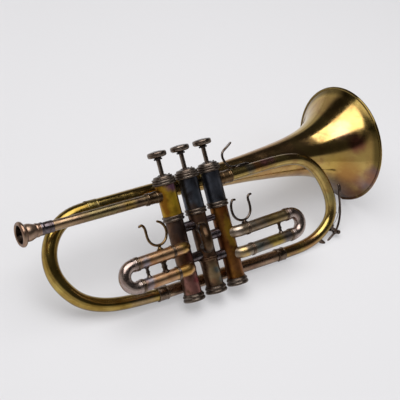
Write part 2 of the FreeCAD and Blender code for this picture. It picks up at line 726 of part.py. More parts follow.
def slide_bow(label, start, direction, spacing, outer, inner, straight, collar, leg, depth):
    """U bow from the upper leg down to the lower one, with a turned collar at each mouth."""
    upper, ahead, down = Vector(*start), Vector(*direction), Vector(0, 0, -1)
    place = Placement(upper, Rotation(ahead, down, ahead.cross(down), "XYZ"))
    bits = [path_tube(unique("crook"), [("L", straight), ("A", Size(spacing, factor=0.5), 180),
                                        ("L", straight)], outer, inner, place)]
    sockets = []
    for mouth in (upper, upper + down * dim(spacing)):
        bits.append(turned(unique("collar"), collar, along(mouth, direction)))
        sockets.append(cylinder(leg, depth, mouth, direction))
    return cut(label, fuse(unique("crookring"), bits), sockets)


def long_slide_bow(label, start, direction, spacing):
    inner, outer = dim("crook_radius") - 0.3, 7.1
    edge, groove = outer - 0.4, outer - 0.35
    collar = [
        (inner, 0.0), (edge, 0.0), (outer, 0.5), (outer, 1.5), (groove, 1.9), (groove, 2.3),
        (outer, 2.7), (outer, 3.1), (edge, 3.5), (inner, 3.5)]
    return slide_bow(label, start, direction, spacing, Size("crook_radius"), Size("leg_bore"),
                     4.0, collar, Size("leg_radius", TIGHT), 3.0)


# first slide: out of the casing towards -Y, then along -X
def slide_1_outer_tubes():
    start_y = -4.0
    elbow = dim("slide_one_elbow")
    segments = [("L", start_y - SLIDE_1_Y - elbow), ("A", Size("slide_one_elbow"), -90),
                ("L", SLIDE_1_X - SLIDE_1_END - elbow)]
    return fuse("slide_1_outer_tubes", [
        bent_tube((SLIDE_1_X, start_y, z), TO_RIGHT, segments, VALVE_X[0]) for z in SLIDE_1_Z])


def slide_1_legs():
    return slide_legs("slide_1_legs", SLIDE_1_END + 44.0, SLIDE_1_Y, SLIDE_1_Z, TO_PLAYER, 46.0)


def slide_1_bow():
    return long_slide_bow("slide_1_bow", (SLIDE_1_END - LOOSE, SLIDE_1_Y, SLIDE_1_Z[0]),
                          TO_PLAYER, "slide_one_spacing")


# second slide: short and straight, out of the middle casing
def slide_2_point(distance, z):
    point = Vector(PITCH, 0, 0) + Vector(*SLIDE_2_DIR) * distance
    return (point.x, point.y, z)


def slide_2_outer_tubes():
    tubes = []
    for z in SLIDE_2_Z:
        tube = ring(unique("tube"), Size("slide_two_radius", -0.8), Size("slide_two_radius"),
                    5.0, Size("slide_two_end"), along(slide_2_point(0, z), SLIDE_2_DIR))
        tubes.append(cut(unique("tubecut"), tube, [casing_core(PITCH, z)]))
    return fuse("slide_2_outer_tubes", tubes)


def slide_2_legs():
    return fuse("slide_2_legs", [
        ring(unique("leg"), Size("slide_two_radius", -1.5), Size("slide_two_radius", -0.85),
             11.0, SLIDE_2_END + 2.0, along(slide_2_point(0, z), SLIDE_2_DIR))
        for z in SLIDE_2_Z])


def slide_2_bow():
    collar = [(5.6, 0.0), (6.3, 0.0), (6.6, 0.4), (6.6, 1.1), (6.35, 1.4), (6.6, 1.7),
              (6.6, 2.2), (6.3, 2.6), (5.6, 2.6)]
    return slide_bow("slide_2_bow", slide_2_point(SLIDE_2_END + LOOSE, SLIDE_2_Z[0]),
                     SLIDE_2_DIR, "slide_two_spacing", Size("slide_two_radius", -0.1),
                     Size("slide_two_radius", -1.5), 3.0, collar,
                     Size("slide_two_radius", -0.83), 2.0)


# third slide: slantwise out of the last casing towards +X and -Y, then along +X
def slide_3_outer_tubes():
    lead = 6.0
    elbow = dim("slide_three_elbow")
    # the elbow starts where a line from the valve's axis meets it
    elbow_y = SLIDE_3_Y + elbow * (1 - math.cos(ANGLE_3))
    elbow_x = VALVE_X[2] + abs(elbow_y) / math.sin(ANGLE_3) * math.cos(ANGLE_3)
    start_x = elbow_x - lead * math.cos(ANGLE_3)
    start_y = elbow_y + lead * math.sin(ANGLE_3)
    straight = SLIDE_3_END - (elbow_x + elbow * math.sin(ANGLE_3))
    segments = [("L", lead), ("A", Size("slide_three_elbow"), dim("slide_three_angle")),
                ("L", straight)]
    return fuse("slide_3_outer_tubes", [
        bent_tube((start_x, start_y, z), SLIDE_3_DIR, segments, VALVE_X[2]) for z in SLIDE_3_Z])


def slide_3_legs():
    return slide_legs("slide_3_legs", SLIDE_3_END - 50.0, SLIDE_3_Y, SLIDE_3_Z, TO_BELL, 52.0)


def slide_3_bow():
    return long_slide_bow("slide_3_bow", (SLIDE_3_END + LOOSE, SLIDE_3_Y, SLIDE_3_Z[0]),
                          TO_BELL, "slide_three_spacing")


def tube_band(tube, point, direction, width=3.2, lift=0.75):
    """Turned band round a fixed tube, with a groove in its middle."""
    inner = dim(tube) + TIGHT
    edge, bead, groove = inner + lift * 0.6, inner + lift, inner + lift * 0.45
    return turned(unique("tband"), [
        (inner, 0.0), (edge, 0.0), (bead, 0.4), (bead, width * 0.36), (groove, width * 0.46),
        (groove, width * 0.56), (bead, width * 0.66), (bead, width - 0.4), (edge, width),
        (inner, width)], along(point, direction))


def slide_bands():
    bands = []
    for z in SLIDE_1_Z:
        for x in (-19.5, SLIDE_1_END + 3.3):
            bands.append(tube_band("slide_radius", (x, SLIDE_1_Y, z), TO_PLAYER))
    for z in SLIDE_3_Z:
        for x in (77.6, SLIDE_3_END - 3.3):
            bands.append(tube_band("slide_radius", (x, SLIDE_3_Y, z), TO_BELL))
    for z in SLIDE_2_Z:
        bands.append(tube_band("slide_two_radius", slide_2_point(SLIDE_2_END - 2.8, z),
                               SLIDE_2_DIR, 2.7, 0.65))
    return fuse("slide_bands", bands)


def post(start, end, radius, foot_radius, foot):
    """Round post with a flared foot at each end and a collar halfway."""
    run = Vector(*end).sub(Vector(*start))
    length, collar = run.Length, radius + 0.6
    middle = length / 2
    return turned(unique("post"), [
        (0, 0), (foot_radius, 0), (foot_radius, foot * 0.5), (radius, foot),
        (radius, middle - 0.8), (collar, middle - 0.5), (collar, middle + 0.5),
        (radius, middle + 0.8), (radius, length - foot), (foot_radius, length - foot * 0.5),
        (foot_radius, length), (0, length)], along(start, run))


def slide_posts(label, posts, y, heights):
    """Posts between the two fixed tubes of a slide: posts = [(x, radius, foot radius)]."""
    top, low = heights
    items = [post((x, y, low + 4.6), (x, y, top - 4.6), radius, foot_radius, 3.4)
             for x, radius, foot_radius in posts]
    stations = [row[0] for row in posts]
    start, end = min(stations) - 20, max(stations) + 20
    tubes = [cylinder(Size("slide_radius", 0.01), end - start, (start, y, z), TO_BELL)
             for z in heights]
    return cut(label, fuse(unique("posts"), items), tubes)


# ---------------------------------------------------------------- hooks
# centre lines as (x, z)
HOOK_1_X = -34.5  # the hook's foot stands over the thicker post
HOOK_1 = [
    (-51.1, 95.3), (-48.4, 96.0), (-46.2, 93.8), (-45.3, 89.5), (-45.3, 84.3), (-44.8, 79.9),
    (-42.4, 75.3), (-38.4, 72.2), (-33.4, 71.2), (-28.3, 72.6), (-24.6, 75.9), (-22.5, 80.2),
    (-21.9, 84.9), (-23.0, 89.2), (-25.6, 92.8), (-29.4, 95.2)]
HOOK_3_X = 78.5
HOOK_3 = [
    (73.2, 91.2), (70.2, 91.4), (67.6, 88.3), (66.2, 83.7), (66.0, 79.0), (67.3, 73.6),
    (70.7, 69.6), (75.4, 67.3), (80.8, 67.2), (86.0, 69.6), (89.2, 73.6), (90.6, 79.2),
    (90.5, 84.8), (90.4, 88.6), (92.2, 91.4), (95.3, 92.0)]
LITTLE_HOOK = [
    (108.0, 124.9), (100.0, 124.9), (91.5, 125.0), (85.2, 126.4), (81.6, 130.6), (79.7, 135.5),
    (79.2, 140.2), (81.2, 144.3), (85.6, 147.0), (90.2, 149.5), (94.0, 151.7)]


def hook(label, outline, y, wire, foot):
    points = [(x, y, z) for x, z in outline]
    shape = swept(points, [(0, wire), (1.0, wire)])
    for tip in (points[0], points[-1]):
        shape = shape.fuse(Part.makeSphere(wire, Vector(*tip)))
    return fixed(label, shape.fuse(foot).removeSplitter())


def hook_foot(x, y, tube_z, clearance, stem, flange):
    """Stem and flange, each (base z, height), hollowed to sit on the slide's upper tube."""
    shape = Part.makeCylinder(2.0, stem[1], Vector(x, y, stem[0]), Vector(*UP)).fuse(
        Part.makeCylinder(3.4, flange[1], Vector(x, y, flange[0]), Vector(*UP)))
    return shape.cut(Part.makeCylinder(dim("slide_radius") + clearance, 60,
                                       Vector(x - 30, y, tube_z), Vector(*TO_BELL)))


def slide_1_hook():
    foot = hook_foot(HOOK_1_X, SLIDE_1_Y, SLIDE_1_Z[0], 0.01, stem=(64.0, 8.0), flange=(65.0, 2.6))
    return hook("slide_1_hook", HOOK_1, SLIDE_1_Y, dim("hook_wire"), foot)


def slide_3_hook():
    foot = hook_foot(HOOK_3_X, SLIDE_3_Y, SLIDE_3_Z[0], 0.8, stem=(61.5, 6.0), flange=(62.6, 2.4))
    return hook("slide_3_hook", HOOK_3, SLIDE_3_Y, dim("hook_wire"), foot)


def little_finger_hook():
    foot = Part.makeCylinder(2.6, 18.0, Vector(92.0, 0, 123.2), Vector(*TO_BELL))
    foot = foot.cut(Part.makeCylinder(LOOP_RADIUS + TIGHT, 60, Vector(70, 0, LOOP_Z),
                                      Vector(*TO_BELL)))
    return hook("little_finger_hook", LITTLE_HOOK, 0.0, dim("hook_little_wire"), foot)


# ---------------------------------------------------------------- braces
# (radius, distance from the tail) of the bell's outside where the braces meet it
BELL_CORE = [(8.06, 0), (8.82, 37), (9.72, 74), (11.52, 127), (14.33, 179), (15.72, 200)]


def bell_axis_point(x):
    return TAIL + BELL_DIR * ((x - TAIL.x) / BELL_DIR.x)


def bell_core():
    """Solid that stands for the narrow part of the bell, for trimming the braces."""
    corners = [(0, 0)] + BELL_CORE + [(0, BELL_CORE[-1][1]), (0, 0)]
    outline = Part.makePolygon([Vector(radius, 0, z) for radius, z in corners])
    shape = Part.Face(Part.Wire(outline)).revolve(Vector(0, 0, 0), Vector(*UP), 360)
    return fixed(unique("bellcore"), shape.transformGeometry(BELL_AT.toMatrix()))


def bell_braces():
    """From the mouthpipe socket and from the exit bow across to the bell."""
    slope = math.tan(PIPE_TILT)
    socket_x, loop_x = -19.0, 100.0
    radius, foot_radius, foot = 2.0, 3.6, 2.0
    near_tail, near_flare = bell_axis_point(socket_x), bell_axis_point(loop_x)
    braces = [
        post((socket_x, 4.5, PIPE_Z - socket_x * slope),
             (near_tail.x, near_tail.y - 6.0, near_tail.z - 1.5), radius, foot_radius, foot),
        post((loop_x, 4.5, LOOP_Z),
             (near_flare.x, near_flare.y - 11.0, near_flare.z), radius, foot_radius, foot)]
    return cut("bell_braces", fuse(unique("br"), braces), [
        cylinder(Size("socket_radius", 0.01), 40.0, (2.0, 0, PIPE_Z - 2.0 * slope), PIPE_DIR),
        cylinder(Size("loop_radius", 0.01), 60.0, (75.0, 0, LOOP_Z), TO_BELL),
        bell_core()])


def branch_braces():
    """Short stubs from the first and last casings to the branch tube."""
    outer_valves = (VALVE_X[0], VALVE_X[2])
    slope = (BRANCH_END.z - BRANCH_START.z) / (BRANCH_END.x - BRANCH_START.x)
    stubs = [cylinder(3.0, 12.0, (x, 8.0, BRANCH_START.z + slope * (x - BRANCH_START.x) + 1.5),
                      (0, 1, 0)) for x in outer_valves]
    tools = [cylinder(Size("branch_radius", TIGHT), BRANCH_LENGTH, BRANCH_START, BRANCH_RUN)]
    for x in outer_valves:
        tools.append(cylinder(Size("casing_low_radius", TIGHT), 40.0, (x, 0, 8.0), UP))
        tools.append(cylinder(Size("cap_base_radius", 0.3), 10.0, (x, 0, -2.0), UP))
    return cut("branch_braces", fuse(unique("bbr"), stubs), tools)


# ---------------------------------------------------------------- water key on the exit bow
# the key lies in the loop's plane and stands clear outside the bow
def key_rise(z):
    """Height in the loop's plane of a point at height z."""
    return (z - LOOP_Z) / math.cos(LOOP_TILT)


def key_point(x, z):
    return loop_point(x, key_rise(z))


PIVOT_X, PIVOT_RISE = dim("key_pivot_x"), key_rise(dim("key_pivot_z"))
PIVOT = Vector(*loop_point(PIVOT_X, PIVOT_RISE))
# square to the loop's plane, towards -Y
NORMAL = Vector(0, -math.cos(LOOP_TILT), -math.sin(LOOP_TILT))
# the cork's seat, and the point on the bow's centre line that it faces
SEAT = Vector(*key_point(204.7, 2.1))
FACING = Vector(*loop_point(193.1, -104.3))
SEAT_TO_BOW = FACING.sub(SEAT).Length
TO_BOW = FACING.sub(SEAT).normalize()
# centre lines as (x, z), the first two going on from the pivot
LEVER = [(228.8, 18.4), (232.4, 25.5), (234.7, 33.0), (235.9, 41.5), (236.2, 50.0)]
ARM = [(219.6, 9.9), (213.5, 6.6), (207.2, 3.5)]
LEAF = [(234.15, 42.0), (232.3, 35.0), (229.5, 29.0), (225.5, 24.6), (221.2, 22.6)]


def key_touch():
    """Flattened oval at the top of the lever."""
    touch = Part.makeSphere(1.0)
    stretch = FreeCAD.Matrix()
    stretch.scale(Vector(8.8, 4.0, 1.9))
    touch = touch.transformGeometry(stretch)
    lean = math.radians(78)
    plane_up = Vector(0, -math.sin(LOOP_TILT), math.cos(LOOP_TILT))
    length_dir = Vector(*TO_BELL) * math.cos(lean) + plane_up * math.sin(lean)
    touch.Placement = Placement(
        Vector(*key_point(237.6, 57.6)),
        Rotation(length_dir, NORMAL, length_dir.cross(NORMAL), "XYZ"))
    return touch


def cork_cup():
    """Cup that holds the cork against the nipple on the bow."""
    cup = Part.makeCylinder(3.0, 2.4, SEAT - TO_BOW * 1.6, TO_BOW)
    cup = cup.fuse(Part.makeSphere(2.2, SEAT - TO_BOW * 1.2))
    return cup.cut(Part.makeCylinder(2.5, 3.0, SEAT - TO_BOW * 0.4, TO_BOW))


def water_key_lever():
    rod = dim("key_rod")
    lever_start = loop_point(PIVOT_X - 0.5, PIVOT_RISE + 1.0)
    arm_start = loop_point(PIVOT_X + 0.5, PIVOT_RISE - 0.6)
    lever = swept([lever_start] + [key_point(*p) for p in LEVER], [(0, rod), (1.0, rod * 0.95)])
    arm = swept([arm_start] + [key_point(*p) for p in ARM], [(0, rod * 1.2), (1.0, rod)])
    hub = Part.makeCylinder(2.9, 6.0, PIVOT - NORMAL * 3.0, NORMAL)
    key = lever.fuse(arm).fuse(hub).fuse(key_touch()).fuse(cork_cup())
    key = key.cut(Part.makeCylinder(1.25, 12.0, PIVOT - NORMAL * 6.0, NORMAL))
    # clears whatever the arm leaves inside the cup
    key = key.cut(Part.makeCylinder(2.5, 1.19, SEAT - TO_BOW * 0.4, TO_BOW))
    return fixed("water_key_lever", key.removeSplitter())


def water_key_cork():
    return fixed("water_key_cork", Part.makeCylinder(2.45, 2.4, SEAT - TO_BOW * 0.35, TO_BOW))


def water_key_screw():
    shank = Part.makeCylinder(1.2, 10.6, PIVOT - NORMAL * 5.0, NORMAL)
    head = Part.makeCylinder(2.0, 1.2, PIVOT + NORMAL * 4.6, NORMAL)
    slot = Part.makeBox(5, 0.5, 0.6, PIVOT + NORMAL * 5.3 - Vector(2.5, 0.25, 0.3))
    return fixed("water_key_screw", shank.fuse(head).cut(slot))


def water_key_saddle():
    """Two ears on a block, a stop post, and the nipple under the cork."""
    run = Vector(*loop_point(210.5, -93.9)).sub(PIVOT)
    length = run.Length
    run.normalize()
    turn = Rotation(run, NORMAL.cross(run), NORMAL, "XYZ")
    ears = []
    for side in (-1, 1):
        centre = PIVOT + NORMAL * (side * 3.85)
        eye = Part.makeCylinder(2.6, 1.5, centre - NORMAL * 0.75, NORMAL)
        bar = Part.makeBox(length - 3.0, 3.2, 1.5, Vector(0, -1.6, -0.75))
        bar.Placement = Placement(centre, turn)
        ears.append(eye.fuse(bar))
    block = Part.makeBox(5.0, 3.8, 9.2, Vector(length - 8.8, -1.9, -4.6))
    plate = Part.makeBox(1.6, 9.0, 10.0, Vector(length - 8.0, -4.5, -5.0))
    for box in (block, plate):
        box.Placement = Placement(PIVOT, turn)
    saddle = ears[0].fuse(ears[1]).fuse(block).fuse(plate)
    saddle = saddle.cut(Part.makeCylinder(1.22, 14.0, PIVOT - NORMAL * 7.0, NORMAL))
    nipple = Part.makeCylinder(2.7, SEAT_TO_BOW - 2.3, SEAT + TO_BOW * 2.1, TO_BOW)
    stop_base = Vector(*loop_point(219.8, -82.0))
    stop_dir = Vector(*loop_point(229.0, -83.5)).sub(stop_base)
    stop = Part.makeCylinder(1.5, 8.6, stop_base, stop_dir)
    saddle = saddle.fuse(nipple).fuse(stop)
    saddle = saddle.cut(loop_bar(LOOP_RADIUS + TIGHT))
    bore = Part.makeCylinder(1.4, SEAT_TO_BOW + 1.0, SEAT + TO_BOW * 2.0, TO_BOW)
    return fixed("water_key_saddle", saddle.cut(bore))


def water_key_spring():
    """Spring from the lever, its free end towards the bow."""
    return fixed("water_key_spring",
                 swept([key_point(*p) for p in LEAF], [(0, 0.45), (1.0, 0.45)]))


# ---------------------------------------------------------------- build
pieces = []
for valve in range(3):
    pieces += [lower_casing(valve), upper_casing(valve)]
pieces += [casing_rings(), top_caps(), bottom_caps(), crossover_tubes_1_2(), crossover_tubes_2_3()]
for valve in range(3):
    pieces += [piston(valve), valve_stem(valve), finger_button(valve), button_felt(valve),
               valve_spring(valve)]
pieces += [
    mouthpipe_socket(), mouthpipe(), mouthpiece_receiver(), mouthpiece(),
    bell(), bell_rim_wire(), bell_bow(), branch_tube(), exit_bow(), exit_socket(),
    bow_ferrules(),
    slide_1_outer_tubes(), slide_1_legs(), slide_1_bow(),
    slide_2_outer_tubes(), slide_2_legs(), slide_2_bow(),
    slide_3_outer_tubes(), slide_3_legs(), slide_3_bow(),
    slide_bands(),
    slide_posts("slide_1_posts", [(-54.5, 1.7, 3.0), (HOOK_1_X, 2.6, 4.4)], SLIDE_1_Y, SLIDE_1_Z),
    slide_posts("slide_3_posts", [(122.5, 1.7, 3.0)], SLIDE_3_Y, SLIDE_3_Z),
    slide_1_hook(), slide_3_hook(), little_finger_hook(),
    bell_braces(), branch_braces(),
    water_key_lever(), water_key_cork(), water_key_screw(), water_key_saddle(),
    water_key_spring(),
]

# ---------------------------------------------------------------- check and write
doc.recompute()
faults = []
for obj in doc.Objects:
    if "Invalid" in obj.State or "Error" in obj.State:
        faults.append("%s (%s): %s" % (obj.Name, obj.Label, obj.State))
for piece in pieces:
    shape = piece.Shape
    if shape.isNull() or not shape.isValid() or len(shape.Solids) == 0:
        faults.append("%s: shape" % piece.Label)
if faults:
    raise SystemExit("failed: " + "; ".join(faults))
os.makedirs("parts", exist_ok=True)
for piece in pieces:
    piece.Shape.exportStep("parts/%s.step" % piece.Label)
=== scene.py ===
"""A three-valve brass horn with bell, bows, mouthpipe, slides, hooks and water key.

The valves stand along +z, in a row along x. The bell opens towards +x and the mouthpiece
points towards -x. The bell lies on the +y side; the slides run on the -y side. Shapes are
written in mm and become metres when a mesh is made. The floor is tilted in this frame, so
that the horn lies on its +y side.
"""
import json
import math
from functools import cached_property

import bmesh
import bpy
import numpy as np
from mathutils import Matrix, Vector

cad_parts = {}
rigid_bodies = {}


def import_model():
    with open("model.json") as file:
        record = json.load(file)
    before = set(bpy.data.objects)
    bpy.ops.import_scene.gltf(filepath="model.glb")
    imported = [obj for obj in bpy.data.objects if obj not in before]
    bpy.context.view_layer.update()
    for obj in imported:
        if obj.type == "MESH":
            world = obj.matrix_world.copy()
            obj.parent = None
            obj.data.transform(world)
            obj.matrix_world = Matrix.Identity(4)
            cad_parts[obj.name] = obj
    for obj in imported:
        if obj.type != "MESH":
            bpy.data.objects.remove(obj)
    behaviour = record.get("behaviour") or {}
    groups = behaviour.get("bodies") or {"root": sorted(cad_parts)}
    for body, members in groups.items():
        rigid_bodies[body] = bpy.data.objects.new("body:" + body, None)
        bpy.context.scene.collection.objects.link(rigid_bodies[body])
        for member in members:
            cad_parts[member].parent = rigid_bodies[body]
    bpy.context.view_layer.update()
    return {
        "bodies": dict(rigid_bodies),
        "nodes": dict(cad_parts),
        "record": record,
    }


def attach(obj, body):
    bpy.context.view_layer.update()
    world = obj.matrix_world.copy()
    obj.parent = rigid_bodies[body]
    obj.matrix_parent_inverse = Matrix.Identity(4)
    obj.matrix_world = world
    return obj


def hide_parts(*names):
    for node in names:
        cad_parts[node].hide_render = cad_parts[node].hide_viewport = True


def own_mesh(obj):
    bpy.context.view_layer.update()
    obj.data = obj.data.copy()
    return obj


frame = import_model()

MM = 0.001
UP_AXIS = (0, 0, 1)

# ------------------------------------------------------------------ driving sizes (mm)
# valves
VALVE_PITCH = 29.0
VALVE_X = [0.0, VALVE_PITCH, 2 * VALVE_PITCH]
LOWER_CASING_R = 9.77
UPPER_CASING_R = 10.67

# mouthpipe: a line rising towards -x, starting on the axis of valve 1
PIPE_START = np.array([0.0, 0.0, 117.4])
PIPE_TILT = math.radians(1.35)
PIPE_DIR = np.array([-math.cos(PIPE_TILT), 0.0, math.sin(PIPE_TILT)])
PIPE_END = 147.2            # where the mouthpiece leaves the receiver, along PIPE_DIR
MOUTH_RIM = 169.6           # top of the mouthpiece rim, along PIPE_DIR
CUP_MOUTH_R = 9.6

# bell: an axis from its narrow tail to the rim
BELL_TAIL = np.array([-78.0, 25.0, 124.8])
BELL_YAW, BELL_PITCH = math.radians(2.0), math.radians(-2.1)
BELL_DIR = np.array([math.cos(BELL_PITCH) * math.cos(BELL_YAW),
                     math.cos(BELL_PITCH) * math.sin(BELL_YAW), math.sin(BELL_PITCH)])
BELL_LENGTH = 357.0

# bows and the straight branch tube between them
BOW_TILT = math.radians(2.99)
LOOP_TILT = math.radians(10.62)
EXIT_Z = 117.0
BRANCH_START = np.array([-32.0, 19.3, 15.6])
BRANCH_END = np.array([138.0, 20.1, 9.9])

# slides: height of the upper tube, gap down to the lower one, and where the outer tubes end
SLIDE_R, SLIDE_BORE = 6.6, 5.82
SLIDE1_Y, SLIDE1_TOP, SLIDE1_GAP, SLIDE1_END = -18.0, 60.0, 23.0, 66.0
SLIDE2_R, SLIDE2_TOP, SLIDE2_GAP, SLIDE2_END = 6.0, 74.0, 21.0, 21.0
SLIDE3_Y, SLIDE3_TOP, SLIDE3_GAP, SLIDE3_END = -12.0, 57.2, 23.6, 136.0
SLIDE1_LEVELS = (SLIDE1_TOP, SLIDE1_TOP - SLIDE1_GAP)
SLIDE2_LEVELS = (SLIDE2_TOP, SLIDE2_TOP - SLIDE2_GAP)
SLIDE3_LEVELS = (SLIDE3_TOP, SLIDE3_TOP - SLIDE3_GAP)
SLIDE2_ANGLE = math.radians(24)
SLIDE2_DIR = np.array([-math.sin(SLIDE2_ANGLE), -math.cos(SLIDE2_ANGLE), 0.0])
SLIDE3_ANGLE = math.radians(50)     # at which the third slide leaves its casing
BOW_PLAY = 0.05                     # gap between the outer tubes and a slide bow


# ------------------------------------------------------------------ mesh tools
def unit(v):
    v = np.asarray(v, float)
    return v / np.linalg.norm(v)


def axes_about(axis, hint=UP_AXIS):
    """Square axes x, y, z with z along axis and x as near to hint as it can be."""
    z = unit(axis)
    hint = np.asarray(hint, float)
    if abs(z @ unit(hint)) > 0.95:
        hint = np.array([1.0, 0.0, 0.0])
    x = unit(hint - z * (hint @ z))
    return x, np.cross(z, x), z


def scribe(points, direction, x, radius):
    """Slides points along direction onto the upright cylinder of this radius at x."""
    q = points - np.array([x, 0.0, 0.0])
    a = direction[0] ** 2 + direction[1] ** 2
    b = 2 * (q[:, 0] * direction[0] + q[:, 1] * direction[1])
    c = q[:, 0] ** 2 + q[:, 1] ** 2 - radius ** 2
    slide = (-b + np.sqrt(np.maximum(b * b - 4 * a * c, 0.0))) / (2 * a)
    return points + slide[:, None] * direction


def path_fraction(path):
    """Length along the path at each point, from 0 to 1."""
    steps = np.linalg.norm(np.diff(path, axis=0), axis=1)
    t = np.concatenate([[0], np.cumsum(steps)])
    return t / t[-1]


def as_function(value):
    return value if callable(value) else lambda t: value


class Build:
    """Collects vertices in mm and faces, for one object."""

    def __init__(self):
        self.verts, self.faces = [], []
        self.count = 0

    def add(self, verts, faces):
        self.verts.append(verts)
        self.faces += [tuple(i + self.count for i in face) for face in faces]
        self.count += len(verts)
        return self

    def lathe(self, profile, origin, axis, segs, saddle=None):
        """Closed profile of (radius, height) turned about an axis.

        saddle (x, radius, limit): rings no higher than limit are scribed to that casing.
        """
        x, y, z = axes_about(axis)
        origin = np.asarray(origin, float)
        angle = np.arange(segs) * 2 * math.pi / segs
        rings, verts, count = [], [], 0
        for r, h in profile:
            centre = origin + z * h
            if r < 1e-6:
                points = centre[None]
            else:
                points = (centre + (np.cos(angle) * r)[:, None] * x
                          + (np.sin(angle) * r)[:, None] * y)
                if saddle and h <= saddle[2]:
                    points = scribe(points, z, *saddle[:2])
            verts.append(points)
            rings.append((count, len(points)))
            count += len(points)
        faces = []
        for i, (a, size_a) in enumerate(rings):
            b, size_b = rings[(i + 1) % len(rings)]
            if size_a == 1 and size_b == 1:
                continue
            for j in range(segs):
                j2 = (j + 1) % segs
                if size_a == 1:
                    faces.append((a, b + j2, b + j))
                elif size_b == 1:
                    faces.append((a + j, a + j2, b))
                else:
                    faces.append((a + j, a + j2, b + j2, b + j))
        return self.add(np.concatenate(verts), faces)

    def sweep(self, path, radius, segs, bore=None, round_ends=False, saddle=None):
        """Round bar, or tube if it has a bore, along a path.

        radius and bore are numbers, or functions of t from 0 to 1 along the path.
        saddle (x, radius): the start is scribed to that casing.
        """
        radius, bore_at = as_function(radius), as_function(bore)
        path = np.asarray(path, float)
        along = np.gradient(path, axis=0)
        along /= np.linalg.norm(along, axis=1)[:, None]
        t = path_fraction(path)
        x = axes_about(along[0], (0, 1, 0) if round_ends else UP_AXIS)[0]
        xs = []
        for direction in along:
            x = x - direction * (x @ direction)
            x /= np.linalg.norm(x)
            xs.append(x)
        xs = np.array(xs)
        ys = np.cross(along, xs)
        angle = np.arange(segs) * 2 * math.pi / segs
        cosines, sines = np.cos(angle)[:, None], np.sin(angle)[:, None]
        last = len(path) - 1

        def ring(k, r, shift=0.0):
            return path[k] + along[k] * shift + r * (cosines * xs[k] + sines * ys[k])

        def end_ring(k, r, step, side):
            a = step * math.pi / 12
            return ring(k, max(r * math.sin(a), 1e-3), side * r * math.cos(a))

        rings = []
        if round_ends:
            rings += [end_ring(0, radius(0.0), step, -1) for step in range(1, 6)]
        if saddle:
            rings.append(scribe(ring(0, radius(0.0)), along[0], *saddle))
        rings += [ring(k, radius(t[k])) for k in range(last + 1)]
        if round_ends:
            rings += [end_ring(last, radius(1.0), step, 1) for step in range(5, 0, -1)]
        if bore is not None:
            rings += [ring(k, bore_at(t[k])) for k in range(last, -1, -1)]
            if saddle:
                rings.append(scribe(ring(0, bore_at(0.0)), along[0], *saddle))
        n = len(rings)
        faces = []
        for i in range(n if bore is not None else n - 1):
            a, b = i * segs, ((i + 1) % n) * segs
            for j in range(segs):
                j2 = (j + 1) % segs
                faces.append((a + j, a + j2, b + j2, b + j))
        if bore is None:
            faces.append(tuple(range(segs - 1, -1, -1)))
            faces.append(tuple((n - 1) * segs + j for j in range(segs)))
        return self.add(np.concatenate(rings), faces)


def spline(points, count):
    """Natural cubic spline through points, by chord length, sampled evenly."""
    p = np.asarray(points, float)
    h = np.linalg.norm(np.diff(p, axis=0), axis=1)
    s = np.concatenate([[0], np.cumsum(h)])
    m = len(p)
    matrix = np.zeros((m, m))
    right = np.zeros((m, p.shape[1]))
    matrix[0, 0] = matrix[-1, -1] = 1
    for i in range(1, m - 1):
        matrix[i, i - 1:i + 2] = h[i - 1], 2 * (h[i - 1] + h[i]), h[i]
        right[i] = 6 * ((p[i + 1] - p[i]) / h[i] - (p[i] - p[i - 1]) / h[i - 1])
    bend = np.linalg.solve(matrix, right)
    out = []
    for u in np.linspace(0, s[-1], count):
        i = min(max(int(np.searchsorted(s, u, side="right")) - 1, 0), m - 2)
        a, b = s[i + 1] - u, u - s[i]
        out.append(bend[i] * a ** 3 / (6 * h[i]) + bend[i + 1] * b ** 3 / (6 * h[i])
                   + (p[i] / h[i] - bend[i] * h[i] / 6) * a
                   + (p[i + 1] / h[i] - bend[i + 1] * h[i] / 6) * b)
    return np.array(out)


def turtle(origin, x_dir, y_dir, moves):
    """Path in the plane of x_dir and y_dir: ("L", length) and ("A", radius, degrees)."""
    step = 1.2
    origin, x_dir, y_dir = np.asarray(origin, float), unit(x_dir), unit(y_dir)
    x = y = heading = 0.0
    points = [(0.0, 0.0)]
    for kind, *size in moves:
        if kind == "L":
            length = size[0]
            n = max(2, int(length / (step * 3)))
            points += [(x + length * i / n * math.cos(heading),
                        y + length * i / n * math.sin(heading)) for i in range(1, n + 1)]
        else:
            r, turn = size[0], math.radians(size[1])
            side = 1 if turn > 0 else -1
            cx, cy = x - side * r * math.sin(heading), y + side * r * math.cos(heading)
            start = math.atan2(y - cy, x - cx)
            n = max(10, int(abs(turn) * r / step))
            points += [(cx + r * math.cos(start + turn * i / n),
                        cy + r * math.sin(start + turn * i / n)) for i in range(1, n + 1)]
            heading += turn
        x, y = points[-1]
    return np.array([origin + x_dir * a + y_dir * b for a, b in points])


def wave_field(points, seed):
    """Cheap smooth field from a few sine waves, the same on every run."""
    rng = np.random.RandomState(seed)
    out = np.zeros(len(points))
    for _ in range(7):
        k = rng.normal(size=3)
        k = k / np.linalg.norm(k) * rng.uniform(0.6, 1.6)
        out += np.sin(points @ k + rng.uniform(0, 6.28)) / 7
    return out


def fix_normals(mesh):
    bm = bmesh.new()
    bm.from_mesh(mesh)
    bmesh.ops.recalc_face_normals(bm, faces=bm.faces)
    bm.to_mesh(mesh)
    bm.free()


